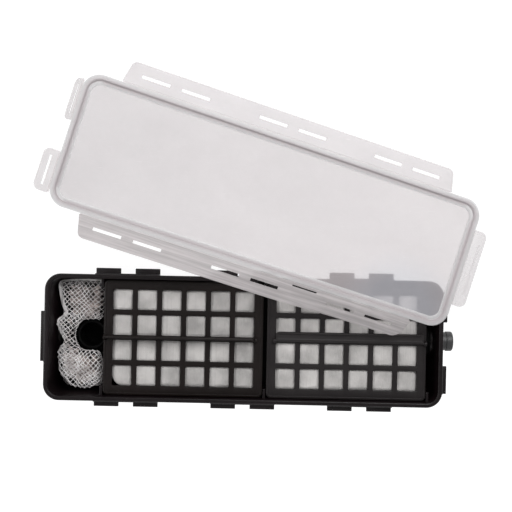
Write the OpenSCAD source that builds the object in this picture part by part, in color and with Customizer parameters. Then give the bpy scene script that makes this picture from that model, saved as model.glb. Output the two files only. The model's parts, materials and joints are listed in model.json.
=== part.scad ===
// Flow-through box filter: an open black tub with two lift-out media cassettes,
// a netted bag of ceramic media round the inlet pipe, and a clear snap-on lid.
// The origin is the centre of the tub's flat underside. +X points to the outlet,
// +Z is up. The lid is laid open above the far long side of the tub.

/* [Tub] */
// Length over the tub's rim
tub_l = 400; // [396:1:460]
// Width over the tub's rim
tub_w = 127; // [124:1:150]
// Height from the underside to the top of the rim
tub_h = 70; // [66:1:90]
// Corner radius of the rim, seen from above
tub_corner_r = 16; // [12:0.5:22]
// Overhang of the rolled rim beyond the wall
lip_w = 2.3; // [1.5:0.1:3]
// Height of the rolled rim
lip_h = 4; // [3:0.5:5]
// Thickness of the tub's walls
wall_t = 2.2; // [1.6:0.1:3]
// Thickness of the tub's floor
floor_t = 2.6; // [2:0.1:4]
// How far each wall leans in from the rim to the underside
draft = 3.6; // [1:0.1:5]
// Height of the floor ribs that carry the cassettes
floor_rib_h = 3; // [2:0.5:5]
// Thickness of the floor ribs and guide ribs
rib_t = 3; // [2:0.5:3.4]
// How far the guide ribs stand in from the long walls
guide_rib_w = 6; // [5:0.5:8]

/* [Catch tabs] */
// Length of each catch tab on the long sides
tab_l = 25; // [18:0.5:27]
// How far the catch tabs on the long sides stand out from the rim
tab_out = 6.3; // [5:0.1:8]
// How far the catch tabs at the two ends stand out from the rim
end_tab_out = 4.8; // [4:0.1:8]
// Thickness of the catch tabs
tab_t = 2.5; // [1.5:0.1:2.9]
// Distance between neighbouring pairs of tabs
pair_pitch = 117.9; // [100:0.1:120]
// Distance of each tab from the middle of its pair
tab_offset = 19.8; // [17:0.1:24]
// Length of the single tab at the inlet end
wide_tab_l = 50.6; // [30:0.1:60]
// Length of each of the two tabs at the outlet end
end_tab_l = 28; // [18:0.5:29]
// Distance of the outlet-end tabs' middles from the rim's long sides
end_tab_inset = 27.5; // [25.5:0.5:31.5]
// How far the pads behind the tabs stand out from the rim
pad_out = 1; // [0.5:0.1:1.4]

/* [Hose fittings] */
// Radius of the water passage
port_bore_r = 7.5; // [5:0.1:8]
// Largest radius of the hose tail
tail_r = 10.2; // [9.6:0.1:12]
// Length of the outlet's hose tail beyond its flange
tail_l = 17; // [12:0.5:30]
// Length of the inlet's hose tail beyond its flange
inlet_tail_l = 10; // [8:0.5:17]
// Radius of the threaded spigot that passes through the wall
spigot_r = 9.5; // [8.6:0.1:9.6]
// Length of the inlet's spigot past its nut, where the elbow goes on
inlet_spigot_l = 7; // [4:0.5:9]
// Length of the outlet's spigot past its nut
outlet_spigot_l = 2; // [1:0.5:2.5]
// Radius of the flange outside the wall
port_flange_r = 14; // [13:0.1:15]
// Thickness of the flange
port_flange_t = 3; // [2:0.5:5]
// Radial play of the spigot in its hole
spigot_play = 0.3; // [0.1:0.05:0.4]
// Height of the outlet above the underside
outlet_z = 30; // [20:0.5:40]
// Height of the inlet above the underside
inlet_z = 18.5; // [18.5:0.5:22]
// Radius of the boss on the wall round each hole
port_boss_r = 15; // [14.5:0.1:15.5]
// How far the boss stands proud of the wall on each side
port_boss_out = 1.5; // [1:0.1:2]
// Width across the flats of the lock nut
nut_af = 26; // [24:0.5:27]
// Thickness of the lock nut
nut_t = 6; // [4:0.5:7]
// Thickness of the O-ring
oring_d = 2.4; // [1.6:0.1:2.8]

/* [Inlet elbow] */
// Radius inside the open mouth
mouth_r = 12.6; // [11:0.1:13]
// Thickness of the elbow's wall
elbow_t = 1.8; // [1.2:0.1:2]
// Height of the mouth above the underside
mouth_z = 34; // [33:0.5:40]
// Distance of the mouth's axis from the rim's inner edge
mouth_from_edge = 37.2; // [36:0.1:38.2]

/* [Cassettes] */
// Free length between the rim's inner edge at the inlet end and the first cassette
inlet_room = 54; // [53:0.5:66]
// Gap between the two cassettes
cassette_gap = 4; // [3.8:0.1:5]
// Free length between the second cassette and the rim's inner edge
outlet_room = 11; // [10:0.5:14]
// Depth of the covers below the rim
cover_drop = 8; // [7:0.5:12]
// Play between each cover and the long walls
cover_play = 0.4; // [0.3:0.1:1]
// Corner radius of the covers
cover_corner_r = 5; // [3:0.5:6]
// Thickness of the cover grid
cover_t = 2.5; // [2:0.1:4]
// Overhang of the cover beyond the basket's ends
cover_overhang = 3.5; // [3:0.5:5]
// Number of windows along the cover
window_cols = 6; // [4:1:6]
// Number of windows across the cover
window_rows = 4; // [4:2:4]
// Solid edge of the cover beyond the windows at its ends
grid_edge_l = 9.1; // [8:0.1:14]
// Solid edge of the cover beyond the windows at its long sides
grid_edge_w = 9.5; // [8:0.1:12]
// Width of the bars between windows
bar_w = 5.2; // [4:0.1:5.4]
// Thickness of the basket's walls
basket_t = 1.8; // [1.4:0.1:2.4]
// Play between the basket's foot and the tub's walls
basket_play = 0.6; // [0.4:0.1:1.5]
// Thickness of the fleece pad under the cover
fleece_t = 20; // [12:1:24]
// Play round the pads inside the basket
pad_play = 0.4; // [0.3:0.1:1]
// Length of each snap hook on the cover
hook_l = 12; // [8:1:16]
// How far each snap hook reaches down
hook_reach = 8; // [6:0.5:10]

/* [Cassette handles] */
// Width of the handle strip
handle_w = 9.5; // [8.5:0.5:13]
// Thickness of the handle strip
handle_t = 2; // [1.6:0.1:2.4]
// Radius of the handle's pins
pin_r = 1.2; // [0.9:0.05:1.3]
// Radial play of the pins in the ears
pin_play = 0.05; // [0.02:0.01:0.09]
// Thickness of the ears that carry the pins
ear_t = 2.5; // [2:0.1:4]
// Height of the pin above the cover
pin_z = 2.3; // [2.2:0.1:2.6]
// Distance of the inner ear from the cover's end
handle_inset = 6; // [5:0.5:9]
// Opening angle of the first cassette's handle, 0 when folded
handle_1_angle = 80; // [0:1:90]
// Opening angle of the second cassette's handle, 0 when folded
handle_2_angle = 0; // [0:1:90]

/* [Media bag] */
// Corner radius of the bag's lobes
lobe_r = 9; // [6:0.5:10]
// Thickness of the netting
net_t = 0.8; // [0.5:0.1:1.2]
// Height of the bag's lobes above the underside
bag_top_z = 55; // [50:1:58]
// Room between the bag and the pieces beside it
bag_room = 3; // [2.5:0.1:4]

/* [Lid] */
// How far the lid's rim overhangs the tub's rim
lid_over = 1.6; // [1.5:0.1:2.2]
// Thickness of the lid's plate and walls
lid_t = 1.3; // [1:0.1:1.4]
// Height of the raised rim above the sealing face
ridge_h = 3.4; // [3:0.1:5]
// Width of the raised rim
ridge_w = 4.5; // [4.3:0.1:5]
// How far the skirt hangs below the sealing face
skirt_h = 2; // [1:0.1:3]
// How far the tongue reaches into the tub
tongue_h = 6; // [4:0.5:7]
// Play of the tongue in the tub's opening
tongue_play = 0.4; // [0.3:0.1:0.8]
// Step from the rim's ledge down to the panel
panel_step = 0.7; // [0.4:0.1:1]
// Width of the ledge inside the raised rim
ledge_w = 4.6; // [4:0.1:7]
// Width of the sealing ring in its channel
gasket_w = 1.7; // [1.4:0.1:1.8]

/* [Lid flaps] */
// Thickness of the flaps
flap_t = 1.4; // [1:0.1:1.6]
// Gap at the thin hinge of each flap
hinge_gap = 0.4; // [0.3:0.05:0.5]
// Length of the long flaps
flap_l = 326; // [306:1:340]
// Width of the long flaps from the lid's edge
flap_w = 22.4; // [19:0.1:24]
// What each end of the long flaps gains towards the hinge
flap_flare = 5; // [0:0.5:6]
// Corner radius of the long flaps
flap_corner_r = 6; // [3:0.5:8]
// Length of the slots in the long flaps
slot_l = 28; // [28:0.1:32]
// Width of all slots
slot_w = 3.1; // [3:0.1:4]
// Distance of the long flaps' slots from the lid's edge
slot_reach = 10.6; // [10:0.1:12]
// Length of the relief slit near the hinge of the front flap
relief_l = 25; // [10:1:30]
// Width of the relief slit
relief_w = 1.4; // [0.8:0.1:1.6]
// Length of each end clip
clip_l = 41; // [38:0.5:44]
// Width of each end clip from the lid's edge
clip_w = 15.6; // [14:0.1:18]
// Length of the slot in each end clip
clip_slot_l = 29.4; // [29.2:0.1:31]
// Distance of the end clips' slots from the lid's edge
clip_reach = 8; // [7.6:0.1:9]
// Corner radius of the end clips and the wide flap
clip_corner_r = 6.5; // [2:0.5:7]
// Length of the wide flap at the inlet end
wide_flap_l = 77; // [64:1:90]
// Width of the wide flap from the lid's edge
wide_flap_w = 14; // [13:0.1:16]
// Distance of the wide flap's catch rib from the lid's edge
catch_reach = 11; // [10:0.1:11.2]
// Height of the catch rib
catch_h = 2.2; // [1.8:0.1:2.4]
// Thickness of the catch rib
catch_t = 2; // [1.6:0.1:2.2]

/* [Open lid] */
// Sideways place of the open lid's centre
lid_x = 22; // [12:1:24]
// Distance of the open lid's centre behind the tub's rim
lid_behind = 73; // [71.5:0.5:120]
// Height of the open lid's centre above the rim
lid_lift = 31; // [31:1:60]
// Turn of the open lid about the vertical
lid_yaw = 163.2; // [160:0.1:180]
// Tilt of the open lid, clip end up
lid_tilt = 5.1; // [0:0.1:5.5]
// Opening angle of the first end clip, 0 when flat
clip_a_angle = 0; // [0:1:60]
// Opening angle of the second end clip, 0 when flat
clip_b_angle = 55; // [0:1:60]

/* [Hidden] */

curve_fn = 64;
hull_fn = 32;
cut = 1;                                // overrun of cuts past a face

// Tub
opening_l = tub_l - 2 * (lip_w + wall_t);
opening_w = tub_w - 2 * (lip_w + wall_t);
opening_r = tub_corner_r - lip_w - wall_t;
rib_seat_z = floor_t + floor_rib_h;

// Each wall leans in by this much at height z
function lean(z) = draft * (tub_h - z) / tub_h;
function inner_x(z) = opening_l / 2 - lean(z);
function inner_y(z) = opening_w / 2 - lean(z);
function outer_x(z) = inner_x(z) + wall_t;

// Catch tabs sit where the closed lid's slots come down to
hinge_out = hinge_gap + flap_t / 2;     // hinge axis beyond the lid's edge
tab_z = tub_h - (slot_reach - hinge_out);
end_tab_z = tub_h - (clip_reach - hinge_out);
catch_play = 0.2;
wide_tab_z = tub_h - (catch_reach - hinge_out) + catch_t / 2 + catch_play + tab_t / 2;
pair_centres = [-pair_pitch, 0, pair_pitch];
end_tab_offset = tub_w / 2 - end_tab_inset;

// Hose fittings
spigot_hole_r = spigot_r + spigot_play;
oring_r = (spigot_r + port_flange_r) / 2;
oring_groove = oring_d / 2;             // depth of the O-ring's groove in the flange
oring_side_play = 0.1;
oring_end_play = 0.04;
function boss_in(z) = inner_x(z) - port_boss_out;
function boss_out(z) = outer_x(z) + port_boss_out;

// Elbow
mouth_x = -(opening_l / 2 - mouth_from_edge);
elbow_r = mouth_r + elbow_t;
socket_play = 0.2;
socket_r = spigot_r + socket_play;
arm_r = socket_r + elbow_t;
arm_bore_r = (port_bore_r + socket_r) / 2;
socket_gap = 1;                         // between the nut and the elbow's socket
socket_end_play = 0.3;
arm_start_x = -(boss_in(inlet_z) - nut_t - socket_gap);
socket_l = inlet_spigot_l - socket_gap + socket_end_play;

// Cassettes share the length that the two ends leave them
cover_top_z = tub_h - cover_drop;
cover_z = cover_top_z - cover_t;
cassette_l = (opening_l - inlet_room - cassette_gap - outlet_room) / 2;
cover_w = 2 * (inner_y(cover_z) - cover_play);
basket_l = cassette_l - 2 * cover_overhang;
basket_w = 2 * (inner_y(rib_seat_z) - basket_play);
basket_h = cover_z - rib_seat_z;
cassette_2_x = opening_l / 2 - outlet_room - cassette_l / 2;
cassette_1_x = cassette_2_x - cassette_l - cassette_gap;
pitch_x = (cassette_l - 2 * grid_edge_l + bar_w) / window_cols;
pitch_y = (cover_w - 2 * grid_edge_w + bar_w) / window_rows;
window_l = pitch_x - bar_w;
window_w = pitch_y - bar_w;
rim_lip_h = 3;                          // locating lip under the cover
rim_lip_t = 1.4;
rim_lip_play = 0.3;
fleece_l = basket_l - 2 * (basket_t + rim_lip_play + rim_lip_t + pad_play);
fleece_w = basket_w - 2 * (basket_t + rim_lip_play + rim_lip_t + pad_play);
fleece_z = cover_z - 0.4 - fleece_t;
foam_l = basket_l - 2 * (basket_t + pad_play);
foam_w = basket_w - 2 * (basket_t + pad_play);
foam_z = rib_seat_z + basket_t + 0.3;
foam_h = fleece_z - 0.3 - foam_z;
hook_t = 1.3;
hook_play = 0.3;
hook_nub = 1.2;
hook_x = basket_l / 4;

// Handles: local X runs from the inner ear to the outer ear
handle_l = cassette_l - handle_inset;
strip_play = 0.3;
strip_l = handle_l - 2 * (ear_t + strip_play);
handle_mid = handle_inset / 2;
pin_centre_z = cover_top_z + pin_z;
pin_grip = 2.8;
ear_w = 2 * (pin_r + 1.4);

// Media bag: the lobes stay clear of the walls, the nut, the mouth and the cassette
bag_left = -(inner_x(bag_top_z) - bag_room);
bag_floor = floor_t + 0.4;
bag_right = cassette_1_x - cassette_l / 2 - bag_room;
bag_low_left = -(inner_x(bag_floor) - bag_room);
bag_side = inner_y(bag_floor) - bag_room;
bag_inner_y = max(port_boss_r, elbow_r) + bag_room;
neck_right = mouth_x - elbow_r - bag_room;
neck_floor = inlet_z + max(port_boss_r, arm_r) + bag_room;
media_play = 0.3;
bag_mouth_r = 4;

// Lid
lid_l = tub_l + 2 * lid_over;
lid_w = tub_w + 2 * lid_over;
lid_r = tub_corner_r + lid_over;
tongue_l = opening_l - 2 * tongue_play;
tongue_w = opening_w - 2 * tongue_play;
tongue_r = opening_r - tongue_play;
rim_edge = 0.35;                        // chamfer on the raised rim
gasket_h = ridge_h - lid_t - 0.05;
gasket_in = lid_t + 0.15;               // from the lid's edge to the sealing ring

// Plan of a rounded rectangle, centred
module rounded_rect(l, w, r, fn = curve_fn) {
    square([l - 2 * r, w], center = true);
    square([l, w - 2 * r], center = true);
    for (sx = [-1, 1], sy = [-1, 1])
        translate([sx * (l / 2 - r), sy * (w / 2 - r)])
            circle(r = r, $fn = fn);
}

// Plate with rounded corners from z0 upwards
module plate(l, w, r, z0, h) {
    translate([0, 0, z0])
        linear_extrude(h)
            rounded_rect(l, w, r);
}

// Frame between two rounded rectangles, each given by its inset from the outer one
module frame_ring(l, w, r, inset_out, inset_in, z0, h) {
    translate([0, 0, z0])
        linear_extrude(h)
            difference() {
                rounded_rect(l - 2 * inset_out, w - 2 * inset_out, r - inset_out);
                rounded_rect(l - 2 * inset_in, w - 2 * inset_in, r - inset_in);
            }
}

// Solid with leaning walls between two heights; sizes are those at the rim
module leaning_block(l, w, r, z0, z1) {
    hull()
        for (sx = [-1, 1], sy = [-1, 1])
            translate([sx * (l / 2 - r), sy * (w / 2 - r), z0])
                cylinder(h = z1 - z0, r1 = r - lean(z0), r2 = r - lean(z1), $fn = hull_fn);
}

// Catch tab that stands out along +X, with the pad behind it
module catch_tab(len, z, edge, root, out) {
    translate([root, -len / 2, z - tab_t / 2])
        cube([edge + out - root, len, tab_t]);
}

module catch_pad(len, z, edge, root) {
    translate([root, -len / 2, z - tab_t / 2])
        cube([edge + pad_out - root, len, tub_h - lip_h / 2 - (z - tab_t / 2)]);
}

// All catch tabs and pads of the tub
module catches() {
    root_x = outer_x(tab_z) - wall_t / 2;
    root_y = inner_y(tab_z) + wall_t / 2;
    for (side = [90, -90], x = pair_centres)
        translate([x, 0, 0])
            rotate([0, 0, side]) {
                for (s = [-1, 1])
                    translate([0, s * tab_offset, 0])
                        catch_tab(tab_l, tab_z, tub_w / 2, root_y, tab_out);
                catch_pad(2 * tab_offset + tab_l, tab_z, tub_w / 2, root_y);
            }
    for (s = [-1, 1])
        translate([0, s * end_tab_offset, 0]) {
            catch_tab(end_tab_l, end_tab_z, tub_l / 2, root_x, end_tab_out);
            catch_pad(end_tab_l, end_tab_z, tub_l / 2, root_x);
        }
    rotate([0, 0, 180]) {
        catch_tab(wide_tab_l, wide_tab_z, tub_l / 2, root_x, end_tab_out);
        catch_pad(wide_tab_l, wide_tab_z, tub_l / 2, root_x);
    }
}

// Boss round a hose fitting's hole, on the +X end wall
module port_boss(z) {
    translate([boss_in(z), 0, z])
        rotate([0, 90, 0])
            cylinder(h = boss_out(z) - boss_in(z), r = port_boss_r, $fn = curve_fn);
}

module port_hole(z) {
    translate([boss_in(z) - cut, 0, z])
        rotate([0, 90, 0])
            cylinder(h = boss_out(z) - boss_in(z) + 2 * cut, r = spigot_hole_r, $fn = curve_fn);
}

// Upright rib on both long walls, centred on x
module guide_rib(x) {
    for (s = [-1, 1])
        translate([x - rib_t / 2, s > 0 ? inner_y(0) - guide_rib_w : -tub_w / 2, floor_t / 2])
            cube([rib_t, tub_w / 2 - inner_y(0) + guide_rib_w, cover_top_z - 1 - floor_t / 2]);
}

module tub() {
    rib_room = inner_y(floor_t);
    color([0.14, 0.13, 0.13])
        difference() {
            union() {
                difference() {
                    union() {
                        leaning_block(opening_l + 2 * wall_t, opening_w + 2 * wall_t,
                            opening_r + wall_t, 0, tub_h - lip_h / 2);
                        plate(tub_l, tub_w, tub_corner_r, tub_h - lip_h, lip_h);
                        catches();
                    }
                    leaning_block(opening_l, opening_w, opening_r, floor_t, tub_h + cut);
                }
                intersection() {
                    leaning_block(opening_l + wall_t, opening_w + wall_t,
                        opening_r + wall_t / 2, 0, tub_h);
                    union() {
                        guide_rib(cassette_1_x - cassette_l / 2 - cassette_gap / 2);
                        guide_rib(cassette_1_x + cassette_l / 2 + cassette_gap / 2);
                        guide_rib(cassette_2_x + cassette_l / 2 + cassette_gap / 2);
                        for (cx = [cassette_1_x, cassette_2_x], k = [-1, 0, 1])
                            translate([cx + k * basket_l / 3 - rib_t / 2, -rib_room, floor_t / 2])
                                cube([rib_t, 2 * rib_room, rib_seat_z - floor_t / 2]);
                    }
                }
                port_boss(outlet_z);
                rotate([0, 0, 180])
                    port_boss(inlet_z);
            }
            port_hole(outlet_z);
            rotate([0, 0, 180])
                port_hole(inlet_z);
        }
}

// Hose fitting along +X: the wall's outer face is at x = 0, the hose goes on at +X
module hose_tail(z, spigot_l, hose_l) {
    wall = boss_out(z) - boss_in(z);
    spigot_in = wall + nut_t + spigot_l;
    tail_x = port_flange_t + hose_l;
    step = 1;                           // rise of a barb and rounding of its end
    translate([boss_out(z), 0, z])
        rotate([0, 90, 0])
            difference() {
                rotate_extrude($fn = curve_fn)
                    polygon([[port_bore_r, -spigot_in], [spigot_r, -spigot_in],
                        [spigot_r, 0], [oring_r - oring_d / 2, 0],
                        [oring_r - oring_d / 2, oring_groove],
                        [oring_r + oring_d / 2, oring_groove],
                        [oring_r + oring_d / 2, 0], [port_flange_r, 0],
                        [port_flange_r, port_flange_t], [tail_r - step, port_flange_t],
                        [tail_r - step, port_flange_t + hose_l * 0.3],
                        [tail_r, port_flange_t + hose_l * 0.3],
                        [tail_r - step, port_flange_t + hose_l * 0.6],
                        [tail_r, port_flange_t + hose_l * 0.6],
                        [tail_r, tail_x - step], [tail_r - step, tail_x],
                        [port_bore_r, tail_x]]);
            }
}

// O-ring in the flange's groove, flattened against the boss
module oring(z) {
    translate([boss_out(z), 0, z])
        rotate([0, 90, 0])
            rotate_extrude($fn = curve_fn)
                translate([oring_r, oring_groove / 2])
                    square([oring_d - 2 * oring_side_play, oring_groove - oring_end_play],
                        center = true);
}

// Hexagonal lock nut against the boss's inner face
module lock_nut(z) {
    collar_h = 1;
    translate([boss_in(z) - nut_t, 0, z])
        rotate([0, 90, 0])
            difference() {
                union() {
                    cylinder(h = nut_t, r = nut_af / 2 / cos(30), $fn = 6);
                    translate([0, 0, nut_t - collar_h])
                        cylinder(h = collar_h, r = nut_af / 2 / cos(30), $fn = curve_fn);
                }
                translate([0, 0, -cut])
                    cylinder(h = nut_t + 2 * cut, r = spigot_r + 0.1, $fn = curve_fn);
            }
}

module outlet_tail() {
    color([0.30, 0.30, 0.30]) hose_tail(outlet_z, outlet_spigot_l, tail_l);
}

module outlet_oring() {
    color([0.08, 0.08, 0.08]) oring(outlet_z);
}

module outlet_nut() {
    color([0.12, 0.12, 0.12]) lock_nut(outlet_z);
}

module inlet_tail() {
    color([0.30, 0.30, 0.30]) rotate([0, 0, 180])
        hose_tail(inlet_z, inlet_spigot_l, inlet_tail_l);
}

module inlet_oring() {
    color([0.08, 0.08, 0.08]) rotate([0, 0, 180]) oring(inlet_z);
}

module inlet_nut() {
    color([0.12, 0.12, 0.12]) rotate([0, 0, 180]) lock_nut(inlet_z);
}

// Elbow: a socket on the spigot and an upright pipe with an open mouth
module inlet_elbow() {
    bead = 1;                           // rounded bead round the mouth
    color([0.10, 0.10, 0.10])
        difference() {
            union() {
                translate([mouth_x, 0, floor_t])
                    cylinder(h = mouth_z - floor_t, r = elbow_r, $fn = curve_fn);
                translate([mouth_x, 0, mouth_z - 2 * bead])
                    rotate_extrude($fn = curve_fn)
                        translate([elbow_r - 0.3, bead])
                            circle(r = bead, $fn = 24);
                translate([arm_start_x, 0, inlet_z])
                    rotate([0, 90, 0])
                        cylinder(h = mouth_x - arm_start_x, r = arm_r, $fn = curve_fn);
            }
            translate([mouth_x, 0, floor_t + elbow_t])
                cylinder(h = mouth_z, r = mouth_r, $fn = curve_fn);
            translate([arm_start_x - cut, 0, inlet_z])
                rotate([0, 90, 0])
                    cylinder(h = socket_l + cut, r = socket_r, $fn = curve_fn);
            translate([arm_start_x, 0, inlet_z])
                rotate([0, 90, 0])
                    cylinder(h = mouth_x - arm_start_x, r = arm_bore_r, $fn = curve_fn);
        }
}

// Window openings of a cassette's grid, through a plate at z0
module windows(z0, h) {
    for (i = [0 : window_cols - 1], j = [0 : window_rows - 1])
        translate([(i - (window_cols - 1) / 2) * pitch_x - window_l / 2,
                (j - (window_rows - 1) / 2) * pitch_y - window_w / 2, z0])
            cube([window_l, window_w, h]);
}

// Open basket with a grid floor, slotted walls and windows for the snap hooks
module basket() {
    slot_count = 9;
    slot_pitch = (basket_l - 20) / slot_count;
    slot_h = basket_h * 0.45;
    slot_z = rib_seat_z + basket_h * 0.2;
    hook_hole_z = cover_z - hook_reach;
    color([0.16, 0.15, 0.15])
        difference() {
            plate(basket_l, basket_w, cover_corner_r, rib_seat_z, basket_h);
            plate(basket_l - 2 * basket_t, basket_w - 2 * basket_t, cover_corner_r - basket_t,
                rib_seat_z + basket_t, basket_h);
            windows(rib_seat_z - cut, basket_t + 2 * cut);
            for (k = [0 : slot_count - 1])
                translate([(k - (slot_count - 1) / 2) * slot_pitch - slot_pitch / 4,
                        -basket_w / 2 - cut, slot_z])
                    cube([slot_pitch / 2, basket_w + 2 * cut, slot_h]);
            for (k = [-2 : 2])
                translate([-basket_l / 2 - cut, k * basket_w / 6 - slot_pitch / 4, slot_z])
                    cube([basket_l + 2 * cut, slot_pitch / 2, slot_h]);
            for (sx = [-1, 1])
                translate([sx * hook_x - hook_l / 2 - hook_play, -basket_w / 2 - cut,
                        hook_hole_z - hook_play])
                    cube([hook_l + 2 * hook_play, basket_w + 2 * cut, hook_nub + 2 * hook_play]);
        }
}

// Ear with the hole for a handle pin; local +X is the outer face's direction
module ear() {
    difference() {
        union() {
            translate([-ear_t / 2, -ear_w / 2, cover_top_z - 0.5])
                cube([ear_t, ear_w, pin_z + 0.5]);
            translate([-ear_t / 2, 0, pin_centre_z])
                rotate([0, 90, 0])
                    cylinder(h = ear_t, r = ear_w / 2, $fn = curve_fn);
        }
        translate([-ear_t / 2 - cut, 0, pin_centre_z])
            rotate([0, 90, 0])
                cylinder(h = ear_t + 2 * cut, r = pin_r + pin_play, $fn = curve_fn);
    }
}

// Cover grid with its locating lip, snap hooks and the ears of the handle
module cover() {
    ear_in = -cassette_l / 2 + handle_inset + ear_t / 2;
    ear_out = cassette_l / 2 - ear_t / 2;
    leg_y = basket_w / 2 + hook_play;
    color([0.22, 0.205, 0.205]) {
        difference() {
            union() {
                plate(cassette_l, cover_w, cover_corner_r, cover_z, cover_t);
                frame_ring(basket_l, basket_w, cover_corner_r, basket_t + rim_lip_play,
                    basket_t + rim_lip_play + rim_lip_t, cover_z - rim_lip_h, rim_lip_h + 0.5);
            }
            windows(cover_z - cut, cover_t + 2 * cut);
        }
        for (x = [ear_in, ear_out])
            translate([x, 0, 0])
                ear();
        for (sx = [-1, 1], sy = [-1, 1])
            translate([sx * hook_x, 0, 0])
                rotate([0, 0, sy > 0 ? 0 : 180])
                    translate([-hook_l / 2, leg_y, cover_z - hook_reach]) {
                        cube([hook_l, hook_t, hook_reach + 0.5]);
                        translate([0, -hook_play - hook_nub, 0])
                            cube([hook_l, hook_play + hook_nub + 0.5, hook_nub]);
                    }
    }
}

// Handle strip with a bead on its free edge and a pin at each end
module handle(angle) {
    bead_r = handle_t * 0.75;
    edge_y = handle_w - bead_r;
    translate([handle_mid, 0, pin_centre_z])
        rotate([angle, 0, 0])
            color([0.17, 0.16, 0.16]) {
                translate([-strip_l / 2, 0, -handle_t / 2])
                    cube([strip_l, edge_y, handle_t]);
                for (y = [0, edge_y])
                    translate([-strip_l / 2, y, 0])
                        rotate([0, 90, 0])
                            cylinder(h = strip_l, r = y > 0 ? bead_r : handle_t / 2,
                                $fn = curve_fn);
                for (s = [0, 180])
                    rotate([0, 0, s])
                        translate([strip_l / 2 - cut, 0, 0])
                            rotate([0, 90, 0])
                                cylinder(h = pin_grip + cut, r = pin_r, $fn = curve_fn);
            }
}

module foam_block() {
    color([0.20, 0.22, 0.26]) plate(foam_l, foam_w, 2, foam_z, foam_h);
}

module fleece_pad() {
    color([0.88, 0.88, 0.87]) plate(fleece_l, fleece_w, 3, fleece_z, fleece_t);
}

// The first cassette stands turned half round, so that both handles' outer ears face outwards
module place_1() {
    translate([cassette_1_x, 0, 0])
        mirror([1, 0, 0])
            children();
}

module place_2() {
    translate([cassette_2_x, 0, 0])
        children();
}

module cassette_1_basket() {
    place_1() basket();
}

module cassette_1_foam() {
    place_1() foam_block();
}

module cassette_1_fleece() {
    place_1() fleece_pad();
}

module cassette_1_cover() {
    place_1() cover();
}

module cassette_1_handle() {
    place_1() handle(handle_1_angle);
}

module cassette_2_basket() {
    place_2() basket();
}

module cassette_2_foam() {
    place_2() foam_block();
}

module cassette_2_fleece() {
    place_2() fleece_pad();
}

module cassette_2_cover() {
    place_2() cover();
}

module cassette_2_handle() {
    place_2() handle(handle_2_angle);
}

// Rounded lobe between two corners, drawn in all round by inset
module lobe(low, high, inset) {
    r = lobe_r - inset;
    hull()
        for (x = [low[0] + lobe_r, high[0] - lobe_r], y = [low[1] + lobe_r, high[1] - lobe_r],
                z = [low[2] + lobe_r, high[2] - lobe_r])
            translate([x, y, z])
                sphere(r = r, $fn = 16);
}

// Two lobes of the folded bag and the neck between them, which passes beside the mouth
module bag_form(inset) {
    low_x = max(bag_left, bag_low_left);
    for (s = [-1, 1])
        lobe([low_x, s > 0 ? bag_inner_y : -bag_side, bag_floor],
            [bag_right, s > 0 ? bag_side : -bag_inner_y, bag_top_z], inset);
    lobe([low_x, -bag_inner_y - 2 * lobe_r, neck_floor],
        [max(neck_right, low_x + 2 * lobe_r), bag_inner_y + 2 * lobe_r, bag_top_z - 2], inset);
}

// Netted bag; its gathered mouth is a small opening on the front lobe
module media_bag() {
    color([0.86, 0.84, 0.84])
        difference() {
            bag_form(0);
            bag_form(net_t);
            translate([(bag_left + bag_right) / 2, -(bag_side + bag_inner_y) / 2,
                    bag_top_z - lobe_r])
                cylinder(h = 2 * lobe_r, r = bag_mouth_r, $fn = 24);
        }
}

module ceramic_media() {
    color([0.72, 0.69, 0.68]) bag_form(net_t + media_play);
}

// Places a piece of the lid where the open lid is laid
module open_lid() {
    translate([lid_x, tub_w / 2 + lid_behind, tub_h + lid_lift])
        rotate([0, 0, lid_yaw])
            rotate([0, -lid_tilt, 0])
                children();
}

// Lid in its own frame: z = 0 is the sealing face, +X is the clip end
module lid_shell() {
    tongue_top = lid_t / 2;
    ledge_in = ridge_w + ledge_w;
    panel_in = ledge_in - 1.5 * lid_t;  // the panel laps the ledge by this
    color([0.87, 0.86, 0.86])
        open_lid() {
            frame_ring(lid_l, lid_w, lid_r, 0, lid_t, -skirt_h, skirt_h + ridge_h - rim_edge);
            frame_ring(lid_l, lid_w, lid_r, rim_edge, ridge_w - rim_edge, ridge_h - lid_t, lid_t);
            frame_ring(lid_l, lid_w, lid_r, ridge_w - lid_t, ridge_w, 0, ridge_h - rim_edge);
            frame_ring(lid_l, lid_w, lid_r, ridge_w - lid_t / 2, ledge_in, 0, lid_t);
            plate(lid_l - 2 * panel_in, lid_w - 2 * panel_in, lid_r - panel_in, -panel_step,
                lid_t);
            frame_ring(tongue_l, tongue_w, tongue_r, 0, lid_t, -tongue_h, tongue_h + tongue_top);
        }
}

module lid_gasket() {
    color([0.80, 0.80, 0.80])
        open_lid()
            frame_ring(lid_l, lid_w, lid_r, gasket_in, gasket_in + gasket_w, 0, gasket_h);
}

// Flap that stands out along +X from the hinge axis at x = 0, with rounded outer corners; each end
// gains flare towards the hinge
module flap_plate(len, reach, r, flare = 0) {
    lean = atan2(flare, reach);
    back = r * tan(45 - lean / 2);  // from the sharp corner to where the rounding starts
    corner_y = len / 2 - back;
    side_x = reach - back * cos(lean);
    side_y = len / 2 + back * sin(lean);
    difference() {
        union() {
            translate([0, 0, -flap_t / 2])
                linear_extrude(flap_t) {
                    polygon([[0, -len / 2 - flare], [side_x, -side_y], [reach, -corner_y],
                        [reach, corner_y], [side_x, side_y], [0, len / 2 + flare]]);
                    for (s = [-1, 1])
                        translate([reach - r, s * corner_y])
                            circle(r = r, $fn = curve_fn);
                }
            rotate([90, 0, 0])
                cylinder(h = len + 2 * flare, r = flap_t / 2, center = true, $fn = curve_fn);
        }
        children();
    }
}

// Slot through a flap, centred on x and y
module flap_slot(x, y, l, w) {
    translate([x - w / 2, y - l / 2, -flap_t])
        cube([w, l, 2 * flap_t]);
}

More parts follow.
